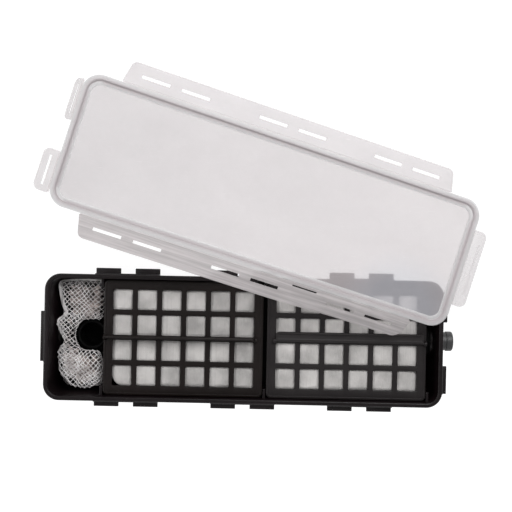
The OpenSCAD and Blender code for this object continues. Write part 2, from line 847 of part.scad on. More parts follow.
module long_flap() {
    flap_plate(flap_l, flap_w - hinge_out, flap_corner_r, flap_flare) {
        for (p = pair_centres, s = [-1, 1])
            flap_slot(slot_reach - hinge_out, p + s * tab_offset, slot_l, slot_w);
        children();
    }
}

// Turns a flap's local frame to a side of the lid and folds it down by angle
module hinge_place(side, edge, along, angle) {
    open_lid()
        rotate([0, 0, side])
            translate([edge + hinge_out, along, 0])
                rotate([0, angle, 0])
                    children();
}

// The front flap lies towards the tub while the lid is open
module front_flap() {
    color([0.88, 0.87, 0.87])
        hinge_place(90, lid_w / 2, 0, 0)
            long_flap()
                flap_slot(flap_t / 2 + 1 + relief_w / 2, pair_pitch / 2, relief_l, relief_w);
}

module rear_flap() {
    color([0.88, 0.87, 0.87]) hinge_place(-90, lid_w / 2, 0, 0) long_flap();
}

module wide_end_flap() {
    color([0.88, 0.87, 0.87])
        hinge_place(180, lid_l / 2, 0, 0) {
            flap_plate(wide_flap_l, wide_flap_w - hinge_out, clip_corner_r);
            translate([catch_reach - hinge_out - catch_t / 2, -wide_tab_l / 2, -catch_h - flap_t / 2])
                cube([catch_t, wide_tab_l, catch_h + flap_t / 2]);
        }
}

module end_clip(side, angle) {
    color([0.88, 0.87, 0.87])
        hinge_place(0, lid_l / 2, side * end_tab_offset, angle)
            flap_plate(clip_l, clip_w - hinge_out, clip_corner_r)
                flap_slot(clip_reach - hinge_out, 0, clip_slot_l, slot_w);
}

module end_clip_a() {
    end_clip(1, clip_a_angle);
}

module end_clip_b() {
    end_clip(-1, clip_b_angle);
}

tub();
inlet_tail();
inlet_oring();
inlet_nut();
inlet_elbow();
outlet_tail();
outlet_oring();
outlet_nut();
cassette_1_basket();
cassette_1_foam();
cassette_1_fleece();
cassette_1_cover();
cassette_1_handle();
cassette_2_basket();
cassette_2_foam();
cassette_2_fleece();
cassette_2_cover();
cassette_2_handle();
media_bag();
ceramic_media();
lid_shell();
lid_gasket();
front_flap();
rear_flap();
wide_end_flap();
end_clip_a();
end_clip_b();
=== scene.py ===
"""Dresses the packed box filter: moulded tub, cassettes, netted media bag and frosted lid."""

import json
import math
import random
from contextlib import contextmanager
from itertools import product

import bmesh
import bpy
from bpy.props import FloatProperty, FloatVectorProperty, IntProperty, PointerProperty
from mathutils import Matrix, Vector
from mathutils.bvhtree import BVHTree
from mathutils.noise import noise

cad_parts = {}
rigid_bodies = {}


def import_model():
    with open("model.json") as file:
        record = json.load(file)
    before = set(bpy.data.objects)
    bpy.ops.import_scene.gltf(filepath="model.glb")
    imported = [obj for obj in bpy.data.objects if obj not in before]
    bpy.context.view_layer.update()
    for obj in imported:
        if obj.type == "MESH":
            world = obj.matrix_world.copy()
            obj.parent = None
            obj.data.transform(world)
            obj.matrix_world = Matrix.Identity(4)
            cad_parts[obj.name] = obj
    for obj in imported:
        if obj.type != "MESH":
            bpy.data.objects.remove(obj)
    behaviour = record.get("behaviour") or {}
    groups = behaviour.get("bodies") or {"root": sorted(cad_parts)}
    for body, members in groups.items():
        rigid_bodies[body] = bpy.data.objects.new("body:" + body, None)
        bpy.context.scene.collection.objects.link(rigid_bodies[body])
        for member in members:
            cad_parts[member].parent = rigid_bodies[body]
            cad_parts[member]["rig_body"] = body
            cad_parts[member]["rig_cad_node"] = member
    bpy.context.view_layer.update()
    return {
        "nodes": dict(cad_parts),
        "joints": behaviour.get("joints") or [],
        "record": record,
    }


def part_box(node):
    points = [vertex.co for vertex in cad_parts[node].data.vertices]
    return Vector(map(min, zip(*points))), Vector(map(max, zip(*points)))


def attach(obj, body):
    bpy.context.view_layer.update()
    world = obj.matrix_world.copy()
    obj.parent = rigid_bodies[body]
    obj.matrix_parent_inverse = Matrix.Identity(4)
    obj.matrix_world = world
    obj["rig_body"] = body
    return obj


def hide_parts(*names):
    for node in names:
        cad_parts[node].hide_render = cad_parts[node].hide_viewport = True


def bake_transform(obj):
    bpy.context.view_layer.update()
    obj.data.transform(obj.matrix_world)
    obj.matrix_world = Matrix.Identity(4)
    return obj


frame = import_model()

bl_info = {
    "name": "Box Filter Dressing",
    "version": (1, 0, 0),
    "blender": (4, 5, 0),
    "location": "3D View > Sidebar > Box Filter",
    "description": "Models and finishes the pieces of a pond box filter round its packed frame",
    "category": "Object",
}

MM = 0.001
TINY = 0.1 * MM                             # reach of a test for lying on a line
JOINTS = {joint["name"]: joint for joint in frame["joints"]}
PORTS = ((1, "outlet_tail"), (-1, "inlet_tail"))
ALONG_X = (0, math.pi / 2, 0)               # lays a cylinder along X
UP = Vector((0, 0, 1))


def mm(*sizes):
    return tuple(size * MM for size in sizes)


def number(name, description, default, **more):
    return FloatProperty(name=name, description=description, default=default, **more)


def length(name, description, default):
    """A size in metres; default is in millimetres."""
    return number(name, description, default * MM, unit="LENGTH", precision=5)


def angle(name, description, degrees):
    return number(name, description, math.radians(degrees), subtype="ANGLE")


def power(name, default):
    return number(name, f"Power of the {name.lower()} in watts", default, unit="POWER")


def colour(name, description, default):
    """A linear colour."""
    return FloatVectorProperty(name=name, description=description, default=default,
                               subtype="COLOR", size=3, min=0, max=1)


class TubSizes(bpy.types.PropertyGroup):
    """Sizes of the moulded tub and its hose tails"""
    rim_length: length("Rim length", "Length over the rolled rim", 400)
    rim_width: length("Rim width", "Width over the rolled rim", 127)
    height: length("Height", "Height to the top of the rim", 70)
    corner: length("Corner radius", "Corner radius of the rim", 16)
    lip: length("Lip", "Overhang of the rolled rim", 2.3)
    lip_height: length("Lip height", "Height of the rolled rim", 4)
    wall: length("Wall", "Wall thickness", 2.2)
    draft: length("Draft", "How far the walls lean in at the floor", 3.6)
    tab_out: length("Tab reach", "How far the side tabs stand out", 6.3)
    end_tab_out: length("End tab reach", "How far the tabs at the ends stand out", 4.8)
    pair_pitch: length("Pair pitch", "Distance between neighbouring pairs of tabs", 117.9)
    tab_offset: length("Tab offset", "Distance of a tab from the middle of its pair", 19.8)
    tab_thick: length("Tab thickness", "Thickness of the catch tabs", 2.5)
    tab_drop: length("Tab depth", "Depth of the tabs' middle below the rim", 9.5)
    end_tab_drop: length("End tab depth", "Depth of the outlet-end tabs below the rim", 6.9)
    wide_tab_drop: length("Wide tab depth", "Depth of the inlet-end tab below the rim", 7.45)
    soften: length("Soften", "Rounding of moulded edges", 0.6)
    port: length("Port radius", "Radius of the hole for a hose fitting", 9.8)


class CassetteSizes(bpy.types.PropertyGroup):
    """Sizes of the cassettes' covers, handles and pads"""
    corner: length("Corner radius", "Corner radius of the covers", 5)
    width: length("Cover width", "Width of the covers", 116.12)
    top: length("Cover height", "Height of the covers' top above the ground", 62)
    thickness: length("Cover thickness", "Thickness of the cover grid", 2.5)
    columns: IntProperty(name="Columns", description="Windows along the cover", default=6)
    rows: IntProperty(name="Rows", description="Windows across the cover", default=4)
    window_length: length("Window length", "Length of each window", 19.467)
    window_width: length("Window width", "Width of each window", 20.38)
    bar: length("Bar", "Width of the bars between windows", 5.2)
    handle_width: length("Handle width", "Width of the handle strip", 9.5)
    handle_thick: length("Handle thickness", "Thickness of the handle strip", 2)
    pin: length("Pin radius", "Radius of the handle's pins", 1.2)
    bulge: length("Pad bulge", "How far the pads swell into the windows", 1.0)


class BagSizes(bpy.types.PropertyGroup):
    """Sizes of the netted bag and its media"""
    mesh: length("Mesh", "Side of the knitted diamonds", 3.4)
    strand: length("Strand", "Thickness of the net's strands", 1.0)
    pebble: length("Pebble", "Size of a ceramic pebble", 6.6)


class LidSizes(bpy.types.PropertyGroup):
    """Sizes of the clear lid and its flaps"""
    plan_length: length("Length", "Length of the lid", 403.2)
    plan_width: length("Width", "Width of the lid", 130.2)
    corner: length("Corner radius", "Corner radius of the lid", 17.6)
    thickness: length("Thickness", "Thickness of the plate and walls", 1.3)
    ridge: length("Ridge width", "Width of the raised rim", 4.5)
    ridge_height: length("Ridge height", "Height of the raised rim", 3.4)
    ledge: length("Ledge", "Width of the ledge inside the rim", 4.6)
    step: length("Panel step", "Step from the ledge to the panel", 0.7)
    skirt: length("Skirt", "How far the skirt hangs", 2)
    tongue: length("Tongue", "How far the tongue reaches down", 6)
    tongue_inset: length("Tongue inset", "Distance of the tongue from the lid's edge", 6.5)
    hinge_out: length("Hinge", "Distance of the hinge axes from the lid's edge", 1.1)
    flap_thick: length("Flap thickness", "Thickness of the flaps", 1.4)
    flap_flare: length("Flap flare", "What each end of a long flap gains towards the hinge", 5)
    droop: angle("Droop", "How far the near flap hangs at its loose end", 25)


class FilterColours(bpy.types.PropertyGroup):
    """Colours of the finishes"""
    tub: colour("Tub", "Moulded tub", (0.0045, 0.0020, 0.0027))
    cassette_1: colour("First cassette", "Moulded grid", (0.0040, 0.0014, 0.0009))
    # the second cassette's black is painted lighter than the first's, for the light that falls on
    # it
    cassette_2: colour("Second cassette", "Moulded grid", (0.0128, 0.0104, 0.0108))
    fitting: colour("Fittings", "Moulded fittings", (0.040, 0.040, 0.041))
    fleece: colour("Fleece", "Needled fleece", (0.485, 0.468, 0.457))
    foam: colour("Foam", "Filter foam", (0.030, 0.034, 0.045))
    net: colour("Net", "Knitted net", (0.90, 0.87, 0.87))
    ceramic: colour("Ceramic", "Porous ceramic", (0.36, 0.305, 0.285))
    lid: colour("Lid", "Frosted sheet", (0.535, 0.493, 0.505))
    # the near flap's colour is the lid's sheet painted darker, for the shade the drooping flap
    # hangs in
    flap: colour("Near flap", "Frosted sheet, handled more", (0.560, 0.527, 0.532))


class StageSettings(bpy.types.PropertyGroup):
    """Camera and lamps"""
    height: length("Camera height", "Height of the camera above the floor", 920)
    lens: number("Lens", "Focal length in millimetres", 59.766, unit="CAMERA")
    turn: angle("Turn", "Turn of the camera about its axis", 1.2)
    key: power("Key lamp", 15.7)
    fill: power("Left lamp", 5)
    front: power("Front lamp", 2)
    sky: number("Sky", "Strength of the surrounding light", 0.3)


GROUPS = {"filter_tub": TubSizes, "filter_cassettes": CassetteSizes, "filter_bag": BagSizes,
          "filter_lid": LidSizes, "filter_colours": FilterColours, "filter_stage": StageSettings}


# ---------------------------------------------------------------- modelling by operator

def activate(piece):
    """Makes piece the only selected object, and the active one."""
    bpy.ops.object.select_all(action="DESELECT")
    piece.select_set(True)
    bpy.context.view_layer.objects.active = piece


@contextmanager
def editing(piece):
    activate(piece)
    bpy.ops.object.mode_set(mode="EDIT")
    try:
        yield piece
    finally:
        bpy.ops.object.mode_set(mode="OBJECT")


# These work on what is selected of the piece being edited.

def pick_all():
    bpy.ops.mesh.select_all(action="SELECT")


def shift(x=0.0, y=0.0, z=0.0):
    bpy.ops.transform.translate(value=(x, y, z))


def resize(x, y, z=1.0, centre=(0, 0, 0)):
    bpy.ops.transform.resize(value=(x, y, z), center_override=centre)


def raise_by(height):
    bpy.ops.mesh.extrude_region_move(TRANSFORM_OT_translate={"value": (0, 0, height)})


def inset(width):
    bpy.ops.mesh.inset(thickness=width, depth=0)


def bevel(width, segments, affect="EDGES"):
    bpy.ops.mesh.bevel(offset=width, segments=segments, affect=affect)


def delete(kind="FACE"):
    bpy.ops.mesh.delete(type=kind)


def cut_at(axis, value):
    """Cuts the whole piece at one place along X (axis 0) or Y (axis 1)."""
    pick_all()
    normal = (1 - axis, axis, 0)
    bpy.ops.mesh.bisect(plane_co=tuple(value * part for part in normal), plane_no=normal)


def weld():
    pick_all()
    bpy.ops.mesh.remove_doubles(threshold=0.00001)


def pick(piece, kind, test):
    """Selects only the faces, edges or points that pass test, which is given the middle and
    normal of a face, the middle and direction of an edge, or the place and index of a point."""
    bpy.ops.mesh.select_mode(type={"faces": "FACE", "edges": "EDGE", "verts": "VERT"}[kind])
    bpy.ops.mesh.select_all(action="DESELECT")
    mesh = bmesh.from_edit_mesh(piece.data)
    found = 0
    for item in getattr(mesh, kind):
        if kind == "faces":
            hit = test(item.calc_center_median(), item.normal)
        elif kind == "edges":
            start, end = (vertex.co for vertex in item.verts)
            hit = test((start + end) / 2, (end - start).normalized())
        else:
            hit = test(item.co, item.index)
        if hit:
            item.select_set(True)
            found += 1
    mesh.select_flush_mode()
    bmesh.update_edit_mesh(piece.data)
    if not found:
        raise RuntimeError(f"{piece.name}: no {kind} found to shape")


def named(piece, name):
    piece.name = piece.data.name = name
    return piece


def settle(piece):
    """Moves the object's place, turn and scale into its mesh."""
    activate(piece)
    bpy.ops.object.transform_apply(location=True, rotation=True, scale=True)
    return piece


def put(piece, matrix):
    piece.matrix_world = matrix
    return settle(piece)


def move(x=0.0, y=0.0, z=0.0):
    return Matrix.Translation((x, y, z))


def spin(turn, axis="Z"):
    return Matrix.Rotation(turn, 4, axis)


def add(kind, name, **settings):
    """Adds a mesh primitive, with its place and turn moved into its mesh."""
    bpy.ops.object.select_all(action="DESELECT")
    getattr(bpy.ops.mesh, f"primitive_{kind}_add")(**settings)
    return named(settle(bpy.context.view_layer.objects.active), name)


def modify(piece, kind, **settings):
    """Adds a modifier, sets it and applies it."""
    activate(piece)
    modifier = piece.modifiers.new(kind.title(), kind)
    for name, value in settings.items():
        setattr(modifier, name, value)
    bpy.ops.object.modifier_apply(modifier=modifier.name)
    return piece


def outwards(piece):
    with editing(piece):
        pick_all()
        bpy.ops.mesh.normals_make_consistent(inside=False)
    return piece


def turn_over(piece, choose, way):
    """Turns every face over unless the chosen one looks the right way, up (1) or down (-1)."""
    with editing(piece):
        if choose(bmesh.from_edit_mesh(piece.data).faces).normal.z * way < 0:
            pick_all()
            bpy.ops.mesh.flip_normals()


def smooth(piece, degrees=38):
    """Shades the piece smooth where its faces meet at less than an angle, or all over for 0."""
    activate(piece)
    if degrees:
        bpy.ops.object.shade_smooth_by_angle(angle=math.radians(degrees))
    else:
        bpy.ops.object.shade_smooth()
    return piece


def soften(piece, width, segments=3, degrees=30):
    """Rounds the sharp edges and shades the rest smooth."""
    modify(piece, "BEVEL", width=width, segments=segments, limit_method="ANGLE",
           angle_limit=math.radians(degrees), use_clamp_overlap=True, harden_normals=False)
    return smooth(piece)


def join(name, pieces):
    activate(pieces[0])
    for piece in pieces[1:]:
        piece.select_set(True)
    bpy.ops.object.join()
    return named(pieces[0], name)


def copy_of(piece, name):
    activate(piece)
    bpy.ops.object.duplicate(linked=False)
    return named(bpy.context.view_layer.objects.active, name)


def sheet_face(name, plan_length, plan_width, radius=0.0, z=0.0, segments=12):
    """Flat face centred on the Z axis, with rounded corners."""
    piece = add("plane", name, size=1, location=(0, 0, z))
    with editing(piece):
        pick_all()
        resize(plan_length, plan_width, centre=(0, 0, z))
        if radius:
            bevel(radius, segments, "VERTICES")
    return piece


def block(name, size, centre, width=0.0, segments=3):
    """Moulded block with rounded edges."""
    piece = add("cube", name, size=1)
    with editing(piece):
        pick_all()
        resize(*size)
        shift(*centre)
        if width:
            bevel(width, segments)
    return piece


def ring(name, plan_length, plan_width, radius, width, z, height):
    """Upright-walled ring between two rounded rectangles, from z upwards."""
    piece = sheet_face(name, plan_length, plan_width, radius, z)
    with editing(piece):
        pick(piece, "faces", lambda middle, normal: True)
        inset(width)
        delete()
        pick_all()
        raise_by(height)
    return outwards(piece)


def hole(x, y, along, across, unit=1):
    """Limits of a rectangle about a place: x0, x1, y0, y1."""
    return ((x - along / 2) * unit, (x + along / 2) * unit,
            (y - across / 2) * unit, (y + across / 2) * unit)


def cut_out(piece, holes, more=((), ())):
    """Takes the holes out of the face, which is cut along their sides and any more x and y."""
    with editing(piece):
        for axis in (0, 1):
            sides = {value for limits in holes for value in limits[2 * axis:2 * axis + 2]}
            for value in sorted(sides | set(more[axis])):
                cut_at(axis, value)
        pick(piece, "faces", lambda middle, normal: any(
            x0 < middle.x < x1 and y0 < middle.y < y1 for x0, x1, y0, y1 in holes))
        delete()
    return piece


def ease(share):
    """Runs from 0 to 1 with soft ends."""
    share = min(1, max(0, share))
    return share * share * (3 - 2 * share)


# ---------------------------------------------------------------- finishes

class Value:
    """One output of a node; sums, differences and products of values add their Math nodes."""

    def __init__(self, finish, socket):
        self.finish, self.socket = finish, socket

    def _maths(self, operation, first, second):
        return self.finish.node("Math", {0: first, 1: second}, operation=operation)

    def __add__(self, other):
        return self._maths("ADD", self, other)

    def __sub__(self, other):
        return self._maths("SUBTRACT", self, other)

    def __rsub__(self, other):
        return self._maths("SUBTRACT", other, self)

    def __mul__(self, other):
        return self._maths("MULTIPLY", self, other)

    __radd__ = __add__
    __rmul__ = __mul__


def tint(base, factor):
    return tuple(min(1.0, part * factor) for part in base)


class Finish:
    """The node tree of one material with a base colour, or of the world that is given."""

    def __init__(self, name, base=None, world=None):
        self.base = base
        self.material = world or bpy.data.materials.new(name)
        self.material.use_nodes = True
        self.tree = self.material.node_tree
        self.tree.nodes.clear()
        self.place = self.node("TexCoord", out="Object")

    def node(self, kind, inputs=None, out=0, **settings):
        """Adds a node, sets it, then its inputs, and returns the output asked for."""
        made = self.tree.nodes.new("ShaderNode" + kind)
        for name, value in settings.items():
            setattr(made, name, value)
        for name, value in (inputs or {}).items():
            socket = made.inputs[name]
            if isinstance(value, Value):
                self.tree.links.new(value.socket, socket)
            elif socket.type == "RGBA":
                socket.default_value = (*value, 1)
            else:
                socket.default_value = value
        return Value(self, made.outputs[out]) if made.outputs else None

    def scaled(self, scale, turn=(0, 0, 0)):
        return self.node("Mapping", {"Vector": self.place, "Scale": scale, "Rotation": turn})

    def drawn(self, scale):
        """Coordinates that lie along the open lid, then scaled."""
        return self.node("Mapping", {"Vector": self.place, "Rotation": (0, 0, -0.293),
                                     "Scale": tuple(1 / part for part in scale)},
                         vector_type="TEXTURE")

    def cloud(self, scale, detail=3.0, roughness=0.55, place=None, distortion=0.0):
        return self.node("TexNoise", {"Vector": place or self.place, "Scale": scale,
                                      "Detail": detail, "Roughness": roughness,
                                      "Distortion": distortion})

    def cells(self, scale, feature="F1"):
        return self.node("TexVoronoi", {"Vector": self.place, "Scale": scale}, "Distance",
                         feature=feature)

    def band(self, value, low, high, to_low=0.0, to_high=1.0):
        """value between low and high, spread from to_low to to_high."""
        return self.node("MapRange", {"Value": value, "From Min": low, "From Max": high,
                                      "To Min": to_low, "To Max": to_high}, clamp=True)

    def blend(self, first, second, factor):
        """Mixes two colours; a plain number stands for the base colour times that number."""
        first, second = (tint(self.base, shade) if isinstance(shade, (int, float)) else shade
                         for shade in (first, second))
        return self.node("Mix", {"Factor": factor, 6: first, 7: second}, 2, data_type="RGBA")

    def near(self, place, reach):
        """1 at the place, falling to 0 at reach from it."""
        away = self.node("VectorMath", {0: self.place, 1: place}, "Value", operation="DISTANCE")
        return self.band(away, 0, reach, 1, 0)

    def part(self, axis):
        return self.node("SeparateXYZ", {0: self.place}, "XYZ".index(axis))

    def mark(self, name):
        """The piece's own attribute of that name."""
        return self.node("Attribute", {}, "Fac", attribute_name=name)

    def rays(self, *kinds):
        return [self.node("LightPath", out=f"Is {kind} Ray") for kind in kinds]

    def bump(self, height, distance, strength=1.0, under=None):
        inputs = {"Height": height, "Distance": distance, "Strength": strength}
        if under:
            inputs["Normal"] = under
        return self.node("Bump", inputs)

    def ended(self, shader, kind="Material"):
        self.node("Output" + kind, {"Surface": shader})
        return self.material

    def surface(self, **sockets):
        """Ends the tree in the plastic, cloth or rubber that the sockets describe."""
        return self.ended(self.node("BsdfPrincipled", {
            name.replace("_", " ").title().replace("Ior", "IOR"): value
            for name, value in sockets.items()}))


def moulded(name, base, rough=0.45, dust=0.0, shine=0.5, inside=0.0):
    """Injection-moulded plastic: fine spark grain, flow marks, rubbed and dusty patches. Nearer
    the middle than inside, it is painted black and made duller, for the shade inside the tub."""
    f = Finish(name, base)
    grit = f.cloud(2600, 2)
    flow = f.cloud(14, 4, place=f.scaled((1, 2.5, 1)))
    scuffs = f.cloud(90, 6, 0.7, place=f.scaled((1, 6, 6), (0.3, 0.2, 0.5)))
    rubbed = f.band(scuffs, 0.6, 0.78)
    shade = f.blend(f.blend(0.8, 1.25, f.band(flow, 0.3, 0.7)), 2.2, rubbed * 0.35)
    if dust:
        specks = f.band(f.cells(900), 0.0, 0.16, 1, 0) * f.band(f.cloud(35, 3), 0.5, 0.7)
        shade = f.blend(shade, (0.35, 0.33, 0.32), specks * dust)
    dull = f.band(flow, 0.2, 0.8, rough - 0.06, rough + 0.08) + rubbed * 0.12
    # painted shade: the part of a fitting inside the tub is painted black and made duller
    if inside:
        out = f.node("Math", {0: f.part("X")}, operation="ABSOLUTE")
        painted_shade_inside = f.band(out, inside, inside + 0.002, 1, 0)
        shade = f.blend(shade, (0.001, 0.001, 0.001), painted_shade_inside)
        dull = dull + painted_shade_inside * 0.5
    return f.surface(base_color=shade, roughness=dull, specular_ior_level=shine,
                     normal=f.bump(grit, 0.00006, 0.8, f.bump(scuffs, 0.00004, 0.5)))


def rubber(name, base):
    """Moulded rubber: fine grit under a pale bloom."""
    f = Finish(name, base)
    bloom = f.cloud(60, 4)
    return f.surface(base_color=f.blend(0.8, 1.6, f.band(bloom, 0.4, 0.7)),
                     roughness=f.band(bloom, 0.3, 0.7, 0.55, 0.75),
                     normal=f.bump(f.cloud(1800, 3), 0.00005, 0.6))


def fleece(name, base):
    """Needled polyester: fibres mostly one way, needle lines and darker and paler patches at
    random.
    """
    f = Finish(name, base)
    fibres = f.cloud(1, 6, 0.65, place=f.scaled((1500, 170, 400)), distortion=0.6)
    lines = f.cloud(1, 2, 0.5, place=f.scaled((620, 12, 60)))
    packed = f.cloud(48, 3, 0.5) * 0.65 + f.cloud(21, 1) * 0.35
    shade = f.blend(0.64, 1.12, f.band(packed, 0.36, 0.6))
    shade = f.blend(shade, 0.7, f.band(lines, 0.52, 0.76) * 0.35)
    shade = f.blend(shade, 1.2, f.band(fibres, 0.5, 0.75) * 0.5)
    height = fibres * 0.6 + f.cloud(240, 4, 0.6) * 0.9 + lines * 0.5
    return f.surface(base_color=shade, roughness=f.band(fibres, 0.3, 0.7, 0.85, 1.0),
                     normal=f.bump(height, 0.0009, 0.8), sheen_weight=0.3, sheen_roughness=0.6)


def foam(name, base):
    """Open-cell foam: pores painted dark as the shade in them, between pale cell edges."""
    f = Finish(name, base)
    # painted shade: the pores are painted dark and the cell edges pale
    web = f.band(f.cells(520, "DISTANCE_TO_EDGE"), 0.02, 0.18, 1, 0)
    shade = f.blend(f.blend(0.35, 2.2, web), 0.9, f.band(f.cloud(30, 3), 0.4, 0.8) * 0.4)
    return f.surface(base_color=shade, roughness=0.9, normal=f.bump(web, 0.0006, 0.9))


def knitted(name, base, stained):
    """Nylon strands: twisted fibres, stained most near one place, in metres, and painted near
    black low down, as the shade inside the tub.
    """
    f = Finish(name, base)
    twist = f.cloud(1, 3, 0.6, place=f.scaled((2600, 2600, 900), (0.6, 0.4, 0.8)))
    stain = f.cloud(70, 4, 0.6) + f.near(stained, 0.026) * 0.3
    shade = f.blend(base, (0.36, 0.31, 0.30), f.band(stain, 0.5, 0.72) * 0.75)
    shade = f.blend(shade, 1.25, f.band(twist, 0.5, 0.8) * 0.6)
    # painted shade: low down the strands go near black, as the shade inside the tub
    low_painted_shade = f.band(f.part("Z") + stain * 0.006, 0.036, 0.044, 1, 0)
    shade = f.blend(shade, (0.012, 0.010, 0.009), low_painted_shade)
    return f.surface(base_color=shade, roughness=0.55, normal=f.bump(twist, 0.0002, 0.7),
                     sheen_weight=0.15)


def ceramic(name, base, pale):
    """Fired ceramic: open pores painted dark as the shade in them, dust and warm to grey
    pebbles, palest near one place.
    """
    f = Finish(name, base)
    pores = f.cells(1300)
    clay = f.cloud(110, 3) + f.near(pale, 0.03) * 0.25
    # painted shade: the pores are painted darker
    shade = f.blend(f.blend(0.7, 1.5, f.band(clay, 0.35, 0.65)), 0.3,
                    f.band(pores, 0.05, 0.3, 0.8, 0))
    return f.surface(base_color=shade, roughness=0.92, normal=f.bump(pores, 0.0005, 0.8))


def frosted(name, base, cover, fold=0.0, sides=(1, 1), streaks=0.0, rim=0.0, cool=None):
    """Frosted sheet: cover is how much of what lies behind each face hides. Folds may be
    greyer with painted shade, the rim thicker, one side painted paler than the other as
    the light falls, one place painted cooler as the sheet looks over dark things behind it,
    and the sheet drawn in streaks along the lid."""
    f = Finish(name, base)
    flow = f.cloud(1, 4, place=f.drawn((9, 14, 9)))
    cloudy = f.cloud(30, 5, 0.6)
    scratches = f.cloud(1, 5, 0.7, place=f.scaled((60, 700, 60), (0, 0, 0.55)))
    worn = f.band(scratches, 0.62, 0.75)
    # painted light: the sheet is darker towards one end and paler towards the other, as the light
    # falls
    side = f.band(f.part("X"), -0.16, 0.18)
    low, high = (f.blend(*(shade * part for part in sides), side) for shade in (0.93, 1.05))
    shade = f.blend(f.blend(low, high, f.band(flow, 0.3, 0.7)), 1.15, worn * 0.3)
    alpha = f.band(cloudy, 0.3, 0.7, cover - 0.02, cover + 0.03) + worn * 0.05
    # painted light: a bluish cast near one place, where the sheet lies over the dark tub
    if cool:
        shade = f.blend(shade, (base[0] * 0.97, base[1] * 1.04, base[2] * 1.09),
                        f.band(f.near(*cool), 0, 0.5))
    if streaks:
        drawn = f.cloud(1, 5, 0.6, place=f.drawn((14, 420, 14)))
        shade = f.blend(shade, 1 - 2 * streaks, f.band(drawn, 0.5, 0.35))
        shade = f.blend(shade, 1 + 2 * streaks, f.band(drawn, 0.5, 0.65))
        alpha = alpha + f.band(drawn, 0.35, 0.65, -streaks / 2, streaks / 2)
    if rim:
        thick = f.mark("rim")
        shade = f.blend(shade, (base[0] * 1.22, base[1] * 1.31, base[2] * 1.29), thick)
        alpha = alpha + thick * rim
    # painted shade: the crease at the rim's inner wall is greyer and hides more
    if fold:
        crease = f.mark("fold")
        shade = f.blend(shade, 0.92, crease)
        alpha = alpha + crease * (fold + rim)
    # the sheet scatters light but passes most of it on to what lies behind
    passed = f.rays("Shadow")[0] * 0.7
    return f.surface(base_color=shade, alpha=alpha * (1 - passed),
                     roughness=f.band(cloudy, 0.3, 0.7, 0.34, 0.46),
                     normal=f.bump(f.cloud(900, 3), 0.00003, 0.5, f.bump(flow, 0.0012, 0.35)),
                     transmission_weight=0.25, ior=1.49)


def dress(piece, material):
    """Gives the piece, or a CAD node by its name, one material."""
    if isinstance(piece, str):
        piece = frame["nodes"][piece]
    piece.data.materials.clear()
    piece.data.materials.append(material)


def stand_for(piece, body, nodes, material):
    """The piece takes the place of CAD nodes and moves with their body."""
    dress(piece, material)
    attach(piece, body)
    if nodes:
        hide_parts(*nodes)


# ---------------------------------------------------------------- pieces

def lean(sizes, z):
    """How far in the tub's wall lies at height z, as against its rim."""
    return sizes.draft * (sizes.height - z) / sizes.height


